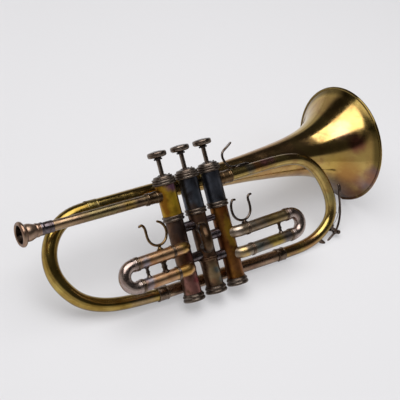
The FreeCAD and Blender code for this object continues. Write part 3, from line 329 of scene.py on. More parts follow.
def make(name, build, finish, part, slot=None, body="root", sharp=38, dents=0.0, dent_size=22.0):
    """Makes the object that replaces a CAD part, in a finish; slot is not used.

    dents is the depth and dent_size the width of the waviness of hand-worked metal, in mm.
    """
    verts = np.concatenate(build.verts)
    if dents:
        phase = verts / dent_size * math.pi
        f = wave_field(phase, 7)
        g = wave_field(phase + 31.0, 11)
        verts = verts + np.stack([f, g, -f], 1) * dents
    mesh = bpy.data.meshes.new(name)
    mesh.from_pydata((verts * MM).tolist(), [], build.faces)
    mesh.validate()
    mesh.polygons.foreach_set("use_smooth", [True] * len(mesh.polygons))
    fix_normals(mesh)
    mesh.set_sharp_from_angle(angle=math.radians(sharp))
    mesh.update()
    ob = bpy.data.objects.new(name, mesh)
    bpy.context.scene.collection.objects.link(ob)
    mesh.materials.append(mats[finish])
    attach(ob, body)
    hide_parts(part)
    slot or finish
    return ob


# ------------------------------------------------------------------ shader tools
def linear(color):
    """Screen colour of 0 to 255 as a linear colour with alpha."""
    color = [c / 255 for c in color]
    return tuple(c / 12.92 if c <= 0.04045 else ((c + 0.055) / 1.055) ** 2.4
                 for c in color) + (1.0,)


def put(socket, value):
    """Links value to the socket if it is a socket itself, or else sets it."""
    if hasattr(value, "links"):
        socket.id_data.links.new(value, socket)
    else:
        socket.default_value = value


class Nodes:
    """Short ways to add nodes to a tree. Values may be numbers or sockets."""

    def __init__(self, tree):
        self.tree = tree

    def node(self, kind, inputs={}, **settings):
        made = self.tree.nodes.new("ShaderNode" + kind)
        for key, value in settings.items():
            setattr(made, key, value)
        for key, value in inputs.items():
            put(made.inputs[key], value)
        return made

    def math(self, operation, a, b=0.0, *more):
        inputs = dict(enumerate((a, b) + more))
        return self.node("Math", inputs, operation=operation).outputs[0]

    def mul(self, a, b):
        return self.math("MULTIPLY", a, b)

    def add(self, a, b):
        return self.math("ADD", a, b)

    def sub(self, a, b):
        return self.math("SUBTRACT", a, b)

    def muladd(self, value, by, plus):
        return self.math("MULTIPLY_ADD", value, by, plus)

    def vector(self, operation, *values):
        made = self.node("VectorMath", dict(enumerate(values)), operation=operation)
        return made.outputs["Value" if operation in ("DOT_PRODUCT", "LENGTH") else 0]

    def ramp(self, value, zero, one):
        """Smooth step that is 0 at zero and 1 at one."""
        inputs = {"Value": value, "From Min": zero, "From Max": one}
        return self.node("MapRange", inputs, interpolation_type="SMOOTHSTEP").outputs["Result"]


class Material(Nodes):
    """A new material. Lengths are in mm."""

    def __init__(self, name):
        self.material = bpy.data.materials.new(name)
        self.material.use_nodes = True
        super().__init__(self.material.node_tree)
        self.tree.nodes.clear()
        self.output = self.node("OutputMaterial")

    @cached_property
    def position(self):
        place = self.node("TexCoord").outputs["Object"]
        scale = self.node("VectorMath", {0: place, "Scale": 1000.0}, operation="SCALE")
        return scale.outputs[0]

    def finish(self, **inputs):
        """Ends the material in a principled shader; Base_Color stands for Base Color."""
        shader = self.node("BsdfPrincipled", {k.replace("_", " "): v for k, v in inputs.items()})
        put(self.output.inputs[0], shader.outputs[0])
        return self.material

    def noise(self, size, detail, roughness, distortion=0.0, stretch=(1, 1, 1), offset=(0, 0, 0)):
        """Noise whose features are about size across."""
        place = self.vector("MULTIPLY_ADD", self.position, tuple(s / size for s in stretch),
                            offset)
        return self.node("TexNoise", {
            "Vector": place, "Scale": 1.0, "Detail": detail, "Roughness": roughness,
            "Distortion": distortion}).outputs["Fac"]

    def mix(self, amount, under, over):
        inputs = {"Factor": amount, 6: under, 7: over}
        return self.node("Mix", inputs, data_type="RGBA").outputs[2]

    def from_axis(self, origin, axis):
        """Vector from origin, and its height along axis."""
        offset = self.vector("SUBTRACT", self.position, tuple(origin))
        return offset, self.vector("DOT_PRODUCT", offset, tuple(axis))

    def blob(self, centre, radius, warp, squash):
        """Mask: 1 near centre, fading to 0 at radius; warp makes its outline uneven."""
        offset = self.vector("SUBTRACT", self.position, centre)
        distance = self.vector("LENGTH", self.vector("MULTIPLY", offset, squash))
        distance = self.muladd(self.sub(warp, 0.5), by=radius * 0.9, plus=distance)
        return self.ramp(distance, zero=radius, one=radius * 0.25)

    def occlusion(self, distance):
        made = self.node("AmbientOcclusion", {"Distance": distance * MM}, samples=8)
        return made.outputs["AO"]

    def edges(self, radius):
        """1 on sharp outer edges and corners, 0 on flat faces."""
        normal = self.node("NewGeometry").outputs["Normal"]
        bevel = self.node("Bevel", {"Radius": radius * MM}, samples=8)
        agree = self.vector("DOT_PRODUCT", bevel.outputs[0], normal)
        return self.ramp(agree, zero=0.995, one=0.93)

    def bump(self, height, strength, distance, **normal):
        inputs = {"Strength": strength, "Distance": distance * MM, "Height": height}
        return self.node("Bump", {**inputs, **normal}).outputs[0]


# ------------------------------------------------------------------ kinds of material
def aged_metal(name, base, dark, warm, rough, tarnish, spots, tint_size, patches=(),
               grain=0.25, wave=0.07, ao=4.0, edge=0.25, edge_color=None,
               gloss_var=0.12, detail=None, painted_grazing_reflection=0.45):
    """Aged bare metal: base colour, darker tarnish and a warm second tone.

    tarnish, spots, edge: strengths of the stains, specks and worn edges; the last argument sets
    the painted dark reflection where the wall turns away
    tint_size: width of the stains in mm; ao: reach of the grime and painted shade in the corners,
    in mm
    grain, wave: strengths of the fine and the slow bumps
    gloss_var: how far the roughness strays from rough
    patches: (centre, radius, colour, strength) and, if not round, its squash along x, y, z
    detail: function of the material and its colour that adds marks under the patches
    """
    mat = Material(name)
    base, dark, warm = linear(base), linear(dark), linear(warm)

    # four noises from wide to fine, simpler where the stains are small
    small = tint_size < 20
    tint = mat.noise(tint_size, detail=3 if small else 4, roughness=0.5 if small else 0.6,
                     distortion=0.6)
    cloud = mat.noise(tint_size * (0.5 if small else 0.36), detail=3 if small else 5,
                      roughness=0.45 if small else 0.62, distortion=0.4, offset=(5.1, 2.2, 7.7))
    mottle = mat.noise(2.6, detail=3 if small else 4, roughness=0.5 if small else 0.65,
                       distortion=0.2, offset=(1.7, 9.2, 3.3))
    grit = mat.noise(0.9, detail=3, roughness=0.6, offset=(8.7, 4.2, 1.3))

    # tones and tarnish
    color = mat.mix(mat.ramp(tint, zero=0.36, one=0.68), base, warm)
    stain = mat.ramp(mat.add(mat.mul(cloud, 0.62), mat.mul(tint, 0.38)), zero=0.44, one=0.70)
    color = mat.mix(mat.mul(stain, tarnish), color, dark)
    if detail:
        color = detail(mat, color)
    for centre, radius, patch_color, strength, *squash in patches:
        mask = mat.blob(centre, radius, cloud, squash[0] if squash else (1, 1, 1))
        color = mat.mix(mat.mul(mask, strength), color, linear(patch_color))

    # fine dark specks, and grime with painted shade in the corners, found by ambient occlusion
    speck = mat.ramp(mottle, zero=0.58, one=0.80)
    pin = mat.ramp(mat.noise(1.3, detail=2, roughness=0.5, offset=(3.3, 3.9, 0.4)),
                   zero=0.70, one=0.78)
    dirt = mat.math("MAXIMUM", mat.mul(speck, spots), mat.mul(pin, spots * 0.9))
    corner_shade_and_grime = mat.ramp(mat.occlusion(ao), zero=0.92, one=0.35)
    # one dark tone for the dirt specks and for the painted corner shade
    dirt_and_shade_color = mat.mix(0.5, dark, (0.012, 0.009, 0.006, 1))
    color = mat.mix(mat.mul(dirt, 0.62), color, dirt_and_shade_color)

    # faint lighter rubs where the lacquer has thinned
    rub = mat.ramp(mat.noise(7.0, detail=5, roughness=0.7, distortion=0.8,
                             offset=(11.3, 6.1, 2.9)), zero=0.55, one=0.72)
    rub_color = tuple(min(1.0, c * 1.35 + 0.03) for c in base[:3]) + (1,)
    color = mat.mix(mat.mul(rub, 0.16), color, rub_color)
    # painted shade: darker in the corners that the ambient occlusion finds
    color = mat.mix(mat.mul(corner_shade_and_grime, 0.75), color, dirt_and_shade_color)
    if edge:
        worn = (linear(edge_color) if edge_color
                else tuple(min(1.0, c * 1.25 + 0.12) for c in base[:3]) + (1,))
        color = mat.mix(mat.mul(mat.edges(radius=0.5), edge), color, worn)
    if painted_grazing_reflection:
        # painted dark reflection: darker where the wall turns away from view
        facing = mat.node("LayerWeight", {"Blend": 0.5}).outputs["Facing"]
        color = mat.mix(mat.mul(mat.ramp(facing, zero=0.40, one=0.92), painted_grazing_reflection), color,
                        tuple(c * 0.35 for c in dark[:3]) + (1,))

    # roughness
    gloss = mat.muladd(mat.sub(cloud, 0.5), by=gloss_var * 1.6, plus=rough)
    gloss = mat.muladd(mat.sub(grit, 0.5), by=gloss_var * 0.7, plus=gloss)
    gloss = mat.muladd(stain, by=gloss_var * 0.8, plus=gloss)
    gloss = mat.muladd(dirt, by=0.28, plus=gloss)
    gloss = mat.muladd(corner_shade_and_grime, by=0.25, plus=gloss)
    gloss = mat.math("MAXIMUM", mat.math("MINIMUM", gloss, 0.85), 0.05)

    # hairline scratches along x and z, shallow pits and slow waviness
    hair_x = mat.noise(0.8, detail=2, roughness=0.5, stretch=(0.05, 1, 1))
    hair_z = mat.noise(0.9, detail=2, roughness=0.5, stretch=(1, 1, 0.05), offset=(4, 2, 1))
    scratches = mat.add(mat.ramp(hair_x, zero=0.64, one=0.78),
                        mat.ramp(hair_z, zero=0.66, one=0.80))
    pits = mat.muladd(dirt, by=-0.5, plus=mottle)
    normal = mat.bump(mat.muladd(scratches, by=-0.35, plus=pits),
                      strength=grain * 0.4, distance=0.03)
    wave_size = max(tint_size, 10.0)
    slow = mat.noise(wave_size * 0.8, detail=1, roughness=0.4, offset=(2.2, 7.4, 5.5))
    normal = mat.bump(slow, strength=wave, distance=wave_size * 0.014, Normal=normal)
    return mat.finish(Base_Color=color, Metallic=1.0, Roughness=gloss, Normal=normal)


def soft_pad(name, base, dark, size, sheen):
    """Matt fibre or cork with a grain about size mm across."""
    mat = Material(name)
    base, dark = linear(base), linear(dark)
    grain = mat.noise(size, detail=5, roughness=0.7, distortion=0.8)
    cloud = mat.noise(size * 6, detail=3, roughness=0.6, distortion=0.3)
    color = mat.mix(mat.ramp(grain, zero=0.35, one=0.68), dark, base)
    color = mat.mix(mat.mul(mat.ramp(cloud, zero=0.4, one=0.7), 0.45), color, dark)
    return mat.finish(Base_Color=color, Roughness=0.9, Sheen_Weight=sheen,
                      Normal=mat.bump(grain, strength=0.7, distance=size * 0.3))


def painted_cup_shade(mat, color):
    """Painted shade: the inside of the mouthpiece cup and throat is painted dull and dark."""
    taper = 0.28
    offset, height = mat.from_axis(PIPE_START, PIPE_DIR)
    reach = mat.vector("LENGTH", offset)
    square = mat.sub(mat.mul(reach, reach), mat.mul(height, height))
    radius = mat.math("SQRT", mat.math("MAXIMUM", square, 0.0))
    # the cup wall lies within a cone that narrows down from the rim
    cone = mat.muladd(height, by=taper, plus=CUP_MOUTH_R - taper * MOUTH_RIM)
    inside = mat.mul(mat.ramp(mat.sub(cone, radius), zero=-0.1, one=0.25),
                     mat.ramp(height, zero=150.0, one=151.5))
    inside = mat.mul(inside, mat.ramp(mat.sub(CUP_MOUTH_R, radius), zero=0.0, one=0.6))
    # the cup and throat go almost black: painted shade
    return mat.mix(mat.mul(inside, 0.97), color, linear((16, 11, 9)))


def painted_rim_shade_and_olive(mat, color):
    """Painted shade as a dark line where the flare runs into the rolled rim, and an olive tint on
    the flare.
    """
    height = mat.from_axis(BELL_TAIL, BELL_DIR)[1]
    line = mat.mul(mat.ramp(height, zero=BELL_LENGTH - 9.0, one=BELL_LENGTH - 4.6),
                   mat.ramp(height, zero=BELL_LENGTH - 0.9, one=BELL_LENGTH - 1.9))
    # painted shade in the turn from the flare into the rim
    color = mat.mix(mat.mul(line, 0.96), color, linear((24, 15, 9)))
    olive = mat.mul(mat.ramp(height, zero=BELL_LENGTH - 60, one=BELL_LENGTH - 20), 0.35)
    return mat.mix(olive, color, linear((176, 150, 84)))


# ------------------------------------------------------------------ finishes
# rows of patches: centre, radius, colour, strength, squash
mats = {}
mats["bell_brass"] = aged_metal(
    "aged_bell_brass", base=(196, 168, 100), dark=(124, 90, 52), warm=(180, 138, 86),
    rough=0.14, tarnish=0.55, spots=0.16, tint_size=40, wave=0.08, grain=0.08, ao=6.0,
    edge=0.0, gloss_var=0.09, detail=painted_rim_shade_and_olive, painted_grazing_reflection=0.0, patches=[
        ((262, -12, 112), 17, (128, 56, 66), 0.75),
        ((262, 0, 56), 24, (112, 92, 112), 0.75),
        ((274, -15, 70), 14, (112, 80, 92), 0.6),
        ((252, 0, 128), 18, (208, 160, 140), 0.5),
        ((150, 15, 130), 60, (176, 142, 108), 0.45, (0.7, 1, 1.6)),
        ((236, 5, 92), 22, (184, 150, 70), 0.55),
        ((120, 18, 112), 40, (160, 128, 84), 0.5, (0.6, 1, 1.4)),
        ((256, 10, 70), 24, (144, 96, 60), 0.7),
        # painted dark reflection on the lower bell near the rim, in this row and the next
        ((271, 42, 44), 40, (50, 32, 22), 0.98),
        ((263, 28, 58), 32, (104, 68, 44), 0.8),
        ((252, 6, 80), 24, (160, 116, 60), 0.65),
        # painted dark reflection on the lower bell
        ((238, 34, 70), 24, (82, 58, 30), 0.7),
        ((268, 10, 160), 20, (120, 92, 60), 0.5),
        ((274, -6, 66), 14, (140, 98, 66), 0.6),
        ((-20, 25, 124), 60, (150, 128, 66), 0.6, (0.5, 1, 1))])
mats["bow_brass"] = aged_metal(
    "aged_bow_brass", base=(182, 156, 88), dark=(104, 78, 34), warm=(160, 130, 62),
    rough=0.20, tarnish=0.45, spots=0.16, tint_size=30, wave=0.08, grain=0.08,
    gloss_var=0.08, painted_grazing_reflection=0.75, patches=[
        ((-118, 22, 45), 14, (168, 132, 84), 0.5),
        ((-52, 20, 20), 22, (168, 146, 120), 0.75),
        ((-100, 20, 124), 20, (136, 112, 48), 0.6),
        ((-134, 22, 60), 14, (206, 186, 104), 0.5)])
mats["loop_brass"] = aged_metal(
    "aged_loop_brass", base=(182, 158, 96), dark=(104, 80, 40), warm=(160, 130, 76),
    rough=0.22, tarnish=0.45, spots=0.16, tint_size=24, wave=0.08, grain=0.08,
    gloss_var=0.08, painted_grazing_reflection=0.7, patches=[
        ((118, -4, 120), 8, (196, 128, 80), 0.8),
        ((129, -4, 121), 8, (182, 112, 116), 0.8),
        ((139, -4, 121), 8, (160, 98, 112), 0.7),
        ((108, -4, 119), 9, (98, 104, 118), 0.6),
        ((172, -3, 119), 14, (132, 92, 62), 0.65),
        ((190, -3, 111), 12, (140, 104, 60), 0.5),
        ((222, 12, 58), 15, (108, 116, 80), 0.5),
        ((180, 18, 12), 20, (166, 120, 88), 0.65),
        ((150, 18, 10), 14, (138, 98, 80), 0.65),
        ((208, 15, 26), 12, (156, 146, 76), 0.5)])
mats["branch_brass"] = aged_metal(
    "tarnished_branch_brass", base=(176, 150, 124), dark=(92, 72, 56), warm=(164, 132, 112),
    rough=0.26, tarnish=0.45, spots=0.1, tint_size=18, grain=0.15, patches=[
        ((5, 15, 20), 14, (92, 80, 60), 0.6),
        ((90, 15, 15), 30, (112, 80, 70), 0.6)])
mats["leadpipe_brass"] = aged_metal(
    "aged_leadpipe_brass", base=(160, 140, 100), dark=(96, 76, 50), warm=(150, 124, 98),
    rough=0.28, tarnish=0.45, spots=0.1, tint_size=16, grain=0.1, patches=[
        ((-122, -4, 122), 22, (176, 146, 118), 0.75),
        ((-85, -4, 120), 20, (142, 130, 86), 0.6),
        ((-48, -4, 118), 12, (150, 122, 60), 0.75),
        ((-34, -4, 118), 10, (96, 74, 66), 0.7),
        ((-66, -4, 121), 8, (120, 112, 76), 0.6)])
mats["mouthpiece_silver"] = aged_metal(
    "worn_mouthpiece_plate", base=(166, 140, 120), dark=(92, 68, 54), warm=(150, 118, 98),
    rough=0.32, tarnish=0.4, spots=0.12, tint_size=12, edge=0.3, ao=6.0, grain=0.1,
    detail=painted_cup_shade)
mats["dark_sleeve"] = aged_metal(
    "dark_receiver_sleeve", base=(112, 104, 108), dark=(48, 40, 44), warm=(112, 94, 92),
    rough=0.26, tarnish=0.5, spots=0.25, tint_size=9, edge=0.35)
mats["ferrule_bronze"] = aged_metal(
    "dark_ferrule_bronze", base=(132, 114, 98), dark=(56, 44, 36), warm=(112, 92, 76),
    rough=0.24, tarnish=0.5, spots=0.15, tint_size=8, edge=0.3, edge_color=(190, 172, 154),
    ao=2.2, grain=0.12, patches=[((-78, 25, 125), 22, (168, 146, 78), 0.95)])
mats["exit_bronze"] = aged_metal(
    "brown_exit_socket", base=(130, 104, 74), dark=(62, 46, 30), warm=(112, 86, 60),
    rough=0.3, tarnish=0.5, spots=0.1, tint_size=12, edge=0.0, ao=2.2, grain=0.08)
mats["socket_bronze"] = aged_metal(
    "dark_socket_bronze", base=(112, 92, 70), dark=(48, 36, 26), warm=(98, 76, 56),
    rough=0.26, tarnish=0.5, spots=0.12, tint_size=9, edge_color=(180, 160, 136),
    ao=2.2, grain=0.12)
mats["cap_bronze"] = aged_metal(
    "dark_cap_bronze", base=(116, 104, 94), dark=(46, 38, 34), warm=(98, 84, 74),
    rough=0.34, tarnish=0.45, spots=0.1, tint_size=9, edge=0.0, ao=1.8, grain=0.06,
    gloss_var=0.06)
mats["stem_pewter"] = aged_metal(
    "dark_pewter", base=(136, 124, 114), dark=(54, 44, 40), warm=(112, 96, 84),
    rough=0.26, tarnish=0.4, spots=0.1, tint_size=10, edge=0.0, ao=2.0, grain=0.06,
    gloss_var=0.06)
mats["knuckle_grey"] = aged_metal(
    "grey_knuckle_nickel", base=(120, 112, 116), dark=(44, 38, 42), warm=(92, 78, 80),
    rough=0.26, tarnish=0.5, spots=0.15, tint_size=8, edge=0.2, grain=0.12)
mats["casing_gold"] = aged_metal(
    "gold_upper_casing", base=(198, 160, 48), dark=(132, 84, 32), warm=(186, 142, 46),
    rough=0.38, tarnish=0.35, spots=0.12, tint_size=12, grain=0.15, patches=[
        ((2, -10.6, 125), 8, (122, 84, 116), 0.9, (0.6, 1, 1)),
        # painted dark reflection, a stripe down the front left of the casing
        ((-9.5, -5, 110), 9.5, (116, 56, 22), 0.72, (1, 1, 0.35)),
        # painted highlight, a stripe down the front of the casing
        ((1, -10, 110), 6, (222, 188, 50), 0.6, (1, 1, 0.5))])
mats["casing_gunmetal"] = aged_metal(
    "gunmetal_upper_casing", base=(78, 82, 92), dark=(26, 24, 28), warm=(58, 56, 60),
    rough=0.36, tarnish=0.45, spots=0.12, tint_size=11, grain=0.15, patches=[
        # painted highlights, stripes down the fronts of casings 2 and 3, in this row and the next
        ((29, -10, 104), 8, (104, 110, 122), 0.7, (1, 1, 0.5)),
        ((60, -10, 112), 8, (108, 112, 124), 0.7, (1, 1, 0.5)),
        ((22, -9, 96), 8, (84, 58, 34), 0.6)])
mats["casing_brown"] = aged_metal(
    "brown_lower_casing", base=(112, 84, 64), dark=(48, 34, 26), warm=(92, 70, 58),
    rough=0.4, tarnish=0.45, spots=0.15, tint_size=12, grain=0.15, patches=[
        ((2, -9, 16), 16, (178, 122, 116), 0.85, (1, 1, 0.75)),
        ((4, -9, 22), 6, (150, 62, 70), 0.7),
        ((-3, -9, 34), 8, (140, 84, 70), 0.6),
        ((3, -9, 48), 9, (116, 60, 58), 0.7),
        ((0, -9, 80), 14, (74, 62, 60), 0.8, (1, 1, 0.7)),
        ((28, -10, 22), 13, (176, 152, 116), 0.9, (1, 1, 0.75)),
        ((31, -9, 25), 6, (104, 120, 122), 0.8),
        ((33, -9, 14), 5, (112, 118, 116), 0.7),
        ((24, -9, 14), 5, (158, 116, 84), 0.7)])
mats["casing_amber"] = aged_metal(
    "amber_lower_casing", base=(150, 102, 44), dark=(66, 36, 22), warm=(126, 78, 40),
    rough=0.4, tarnish=0.75, spots=0.25, tint_size=14, grain=0.15, patches=[
        # painted highlight, a stripe down the front of the casing
        ((59, -9.7, 60), 8, (200, 158, 56), 0.8, (1, 1, 0.32)),
        ((56, -9, 86), 9, (128, 72, 32), 0.7),
        # painted dark reflection, a stripe down the front left of the casing
        ((49, -3, 50), 9, (88, 46, 22), 0.85, (1, 1, 0.2)),
        ((60, -9, 20), 13, (150, 98, 64), 0.7),
        ((64, -7, 34), 7, (110, 68, 66), 0.7)])
mats["slide_copper"] = aged_metal(
    "copper_slide_tube", base=(190, 152, 116), dark=(122, 86, 58), warm=(180, 132, 92),
    rough=0.31, tarnish=0.22, spots=0.03, tint_size=13, grain=0.12, patches=[
        ((-57, -18, 48), 9, (140, 144, 160), 0.85, (1, 0.4, 0.3)),
        ((-64, -18, 48), 8, (92, 86, 90), 0.8, (1, 0.4, 0.3)),
        ((-8, -20, 62), 9, (204, 164, 78), 0.8),
        ((-14, -22, 38), 14, (196, 152, 76), 0.8),
        ((-3, -14, 66), 6, (120, 80, 100), 0.8)])
mats["slide_dark"] = aged_metal(
    "dark_second_slide", base=(86, 68, 50), dark=(40, 30, 22), warm=(78, 58, 42),
    rough=0.34, tarnish=0.5, spots=0.1, tint_size=8, edge=0.2, grain=0.12)
mats["slide_nickel"] = aged_metal(
    "nickel_slide_tube", base=(150, 136, 120), dark=(76, 62, 52), warm=(146, 124, 98),
    rough=0.32, tarnish=0.35, spots=0.06, tint_size=13, grain=0.14, patches=[
        ((118, -14, 58), 22, (168, 142, 84), 0.6),
        ((110, -16, 34), 14, (184, 160, 72), 0.8),
        ((86, -16, 34), 9, (112, 120, 116), 0.8),
        ((128, -16, 34), 9, (96, 92, 96), 0.8),
        ((68, -12, 33), 9, (206, 174, 102), 0.9),
        ((68, -12, 57), 9, (190, 174, 162), 0.85)])
mats["crook_nickel"] = aged_metal(
    "pinkish_crook_nickel", base=(176, 160, 152), dark=(100, 84, 78), warm=(160, 138, 130),
    rough=0.24, tarnish=0.3, spots=0.08, tint_size=12, grain=0.1, wave=0.08)
mats["leg_nickel"] = aged_metal(
    "polished_leg_nickel", base=(200, 196, 188), dark=(120, 108, 92), warm=(188, 176, 158),
    rough=0.12, tarnish=0.3, spots=0.15, tint_size=10, grain=0.2)
mats["dark_steel"] = aged_metal(
    "dark_hook_steel", base=(104, 94, 88), dark=(40, 32, 28), warm=(90, 72, 58),
    rough=0.22, tarnish=0.4, spots=0.1, tint_size=9, edge=0.0, ao=2.0, grain=0.1)
mats["hook_bronze"] = aged_metal(
    "dark_hook_bronze", base=(132, 106, 70), dark=(52, 38, 24), warm=(112, 84, 52),
    rough=0.2, tarnish=0.4, spots=0.1, tint_size=9, edge=0.0, ao=2.0, grain=0.1)
mats["key_steel"] = aged_metal(
    "bright_key_steel", base=(112, 98, 90), dark=(44, 34, 29), warm=(96, 78, 68),
    rough=0.22, tarnish=0.4, spots=0.1, tint_size=8, edge=0.3, edge_color=(220, 208, 198),
    ao=2.0, grain=0.08)
mats["wire_steel"] = aged_metal(
    "bright_spring_wire", base=(186, 186, 188), dark=(90, 84, 80), warm=(160, 150, 140),
    rough=0.2, tarnish=0.35, spots=0.2, tint_size=5)
mats["piston_nickel"] = aged_metal(
    "lapped_piston_nickel", base=(190, 188, 184), dark=(110, 100, 90), warm=(176, 168, 156),
    rough=0.16, tarnish=0.3, spots=0.2, tint_size=14)
mats["felt"] = soft_pad("dark_valve_felt", base=(48, 34, 30), dark=(20, 13, 12), size=0.6,
                        sheen=0.3)
mats["cork"] = soft_pad("key_cork", base=(168, 128, 88), dark=(92, 62, 38), size=0.9, sheen=0.0)

# the CAD parts take the finish of their slot, apart from these
SLOT_OF = {part["node"]: part["material_slot"] for part in frame["record"]["subparts"]}
OWN_FINISH = {"slide_1_hook": "hook_bronze", "water_key_lever": "key_steel",
              "water_key_saddle": "key_steel", "water_key_screw": "key_steel"}
for part, ob in frame["nodes"].items():
    ob.data.materials.clear()
    ob.data.materials.append(mats[OWN_FINISH.get(part, SLOT_OF[part])])


# ------------------------------------------------------------------ profiles (radius, height)
def smooth(points, count):
    return [tuple(p) for p in spline(points, count)]


def ridge(r, z0, z1, lift, steps=8, power=1.0):
    """Rounded ridge from z0 to z1, standing lift above radius r."""
    return [(r + lift * math.sin(math.pi * k / steps) ** power,
             z0 + (z1 - z0) * (1 - math.cos(math.pi * k / steps)) / 2)
            for k in range(steps + 1)]


def roll(r, z0, z1, lift, steps=10):
    """Ridge with a fuller top."""
    return ridge(r, z0, z1, lift, steps, power=0.8)


# ------------------------------------------------------------------ bell
# (distance back from the rim, radius)
FLARE = [(357, 8.05), (320, 8.8), (283, 9.7), (230, 11.5), (178, 14.3), (157, 15.7), (142, 17.0),
         (126, 18.6), (110, 20.3), (94, 22.4), (77, 25.3), (64, 28.2), (52, 31.9), (43, 35.6),
         (35, 39.8), (27, 45.0), (20, 50.4), (14, 55.8), (9, 61.0), (5, 65.9), (2.3, 69.6)]
RIM_R, RIM_BEAD_R, BELL_WALL = 71.8, 1.8, 0.7


def bell():
    outer = spline([(r, BELL_LENGTH - back) for back, r in FLARE], 220)
    along = np.gradient(outer, axis=0)
    along /= np.linalg.norm(along, axis=1)[:, None]
    inner = outer + np.stack([-along[:, 1], along[:, 0]], 1) * BELL_WALL
    # the bead starts on the outside of the flare and rolls over to the inside
    turns = [math.radians(a) for a in range(232, 232 + 285, 12)]
    bead = [(RIM_R - RIM_BEAD_R + RIM_BEAD_R * math.cos(a),
             BELL_LENGTH - 1.0 + RIM_BEAD_R * math.sin(a)) for a in turns]
    profile = [*outer[:-3], *bead, *inner[:-4][::-1]]
    make("bell_shell", Build().lathe(profile, BELL_TAIL, BELL_DIR, 288), "bell_brass", "bell",
         sharp=50, dents=0.10, dent_size=30)


bell()

# ------------------------------------------------------------------ bows and long tubes
# (x, height above BRANCH_START in the tilted plane of the bow)
BOW = [(-78.0, 109.36), (-95, 108.9), (-110, 105.2), (-122, 97.8), (-131, 87.0), (-136, 75.5),
       (-137.6, 64.4), (-136.6, 53.4), (-133.3, 43.9), (-128, 34.4), (-121.5, 26.1),
       (-113.5, 19.2), (-104, 13.7), (-93, 9.3), (-80, 5.9), (-60, 2.9), (-32, 0.0)]
# (x, height from EXIT_Z in the tilted plane of the loop)
LOOP = [(70.0, 0.0), (100.0, 0.0), (130.0, 0.0), (155, -0.6), (170, -2.4), (183.7, -6.6),
        (196.5, -14.8), (207, -26.5), (214.5, -40), (219.6, -54), (221.8, -68), (220.6, -79),
        (215.8, -89), (206.2, -97.6), (193.1, -104.3), (179.8, -107.8), (162.3, -109.2),
        (150, -109.15), (138.0, -108.95)]


def loop_point(x, rise):
    """Point in the loop's plane, rise measured along the plane from EXIT_Z."""
    return np.array([x, -rise * math.sin(LOOP_TILT), EXIT_Z + rise * math.cos(LOOP_TILT)])


def loop_at_z(x, z):
    """Point in the loop's plane at height z."""
    return loop_point(x, (z - EXIT_Z) / math.cos(LOOP_TILT))


def long_tubes():
    bow = spline([(x, BRANCH_START[1] + rise * math.sin(BOW_TILT),
                   BRANCH_START[2] + rise * math.cos(BOW_TILT)) for x, rise in BOW], 190)
    # the bow narrows over its second half
    tube = Build().sweep(bow, lambda t: 8.0 - 1.25 * max(0.0, t - 0.5) / 0.5, 72, bore=6.0)
    make("bell_bow_tube", tube, "bow_brass", "bell_bow", dents=0.06, dent_size=18)
    loop = spline([loop_point(x, rise) for x, rise in LOOP], 230)
    make("exit_bow_tube", Build().sweep(loop, 6.65, 64, bore=5.85), "loop_brass", "exit_bow",
         dents=0.05, dent_size=16)
    branch = np.linspace(BRANCH_START, BRANCH_END, 60)
    make("branch_tube_drawn", Build().sweep(branch, 6.75, 64, bore=5.95), "branch_brass",
         "branch_tube", dents=0.04, dent_size=16)


long_tubes()


# ------------------------------------------------------------------ mouthpipe and sockets
def mouthpipe():
    profile = [(4.2, 13.0), (5.0, 13.0), (5.0, 27.05), (5.5, 27.1),
               *[(5.5, 27.1 + k * 6.0) for k in range(1, 20)],
               (5.5, 147.0), (5.42, PIPE_END), (4.7, PIPE_END), (4.7, 120.0), (4.2, 118.0)]
    # the pipe rides its own body where the frame has one
    make("mouthpipe_drawn", Build().lathe(profile, PIPE_START, PIPE_DIR, 72), "leadpipe_brass",
         "mouthpipe", body="mouthpipe" if "mouthpipe" in frame["bodies"] else "root",
         dents=0.035, dent_size=15)


def receiver():
    profile = [(5.53, 133.6), (5.85, 133.6), (6.12, 133.8), (6.2, 134.1), (6.2, 134.7),
               (6.05, 134.95), (6.05, 135.3), (6.15, 135.6),
               *[(6.15, 136 + k) for k in range(8)], (6.15, 143.9), (6.3, 144.1),
               *ridge(6.3, 144.2, 146.5, 0.42, steps=10),
               (6.3, 146.7), (6.3, 147.0), (6.2, PIPE_END), (5.53, PIPE_END)]
    make("receiver_turned", Build().lathe(profile, PIPE_START, PIPE_DIR, 80), "dark_sleeve",
         "mouthpiece_receiver", body="mouthpipe")


def socket(name, part, finish, profile, origin, axis):
    """Beaded sleeve, its first rings scribed to the upper casing at its origin."""
    sleeve = Build().lathe(profile, origin, axis, 90, saddle=(origin[0], UPPER_CASING_R, 6.5))
    make(name, sleeve, finish, part, slot="ferrule_bronze", sharp=42)


def mouthpiece():
    # (radius, distance below the rim), over the outside, the rim and down the cup
    cup = [(6.8, 17.4), (7.3, 15.9), (8.0, 14.0), (8.6, 12.0), (8.9, 10.2), (8.95, 8.6),
           (8.9, 7.4), (9.0, 6.6), (9.6, 5.8), (10.7, 5.2), (11.8, 4.6), (12.6, 3.8),
           (12.9, 2.8), (12.8, 1.8), (12.3, 0.9), (11.6, 0.3), (10.7, 0), (9.9, 0.3),
           (9.2, 1.0), (8.7, 2.0), (8.2, 3.6), (7.0, 6.8), (5.4, 10.6), (3.6, 14.0),
           (2.3, 16.4), (1.9, 18.5)]
    rim = MOUTH_RIM
    profile = [(1.9, rim - 45.0), (4.45, rim - 45.0), (4.65, rim - 43.0), (4.65, PIPE_END),
               *smooth([(6.5, PIPE_END + 0.05), (6.62, rim - 20.7), (6.75, rim - 20.4)], 4),
               *ridge(6.72, rim - 20.2, rim - 17.6, 0.4, steps=10),
               *smooth([(r, rim - below) for r, below in cup], 100)]
    make("mouthpiece_turned", Build().lathe(profile, PIPE_START, PIPE_DIR, 120),
         "mouthpiece_silver", "mouthpiece", body="mouthpiece", sharp=45)


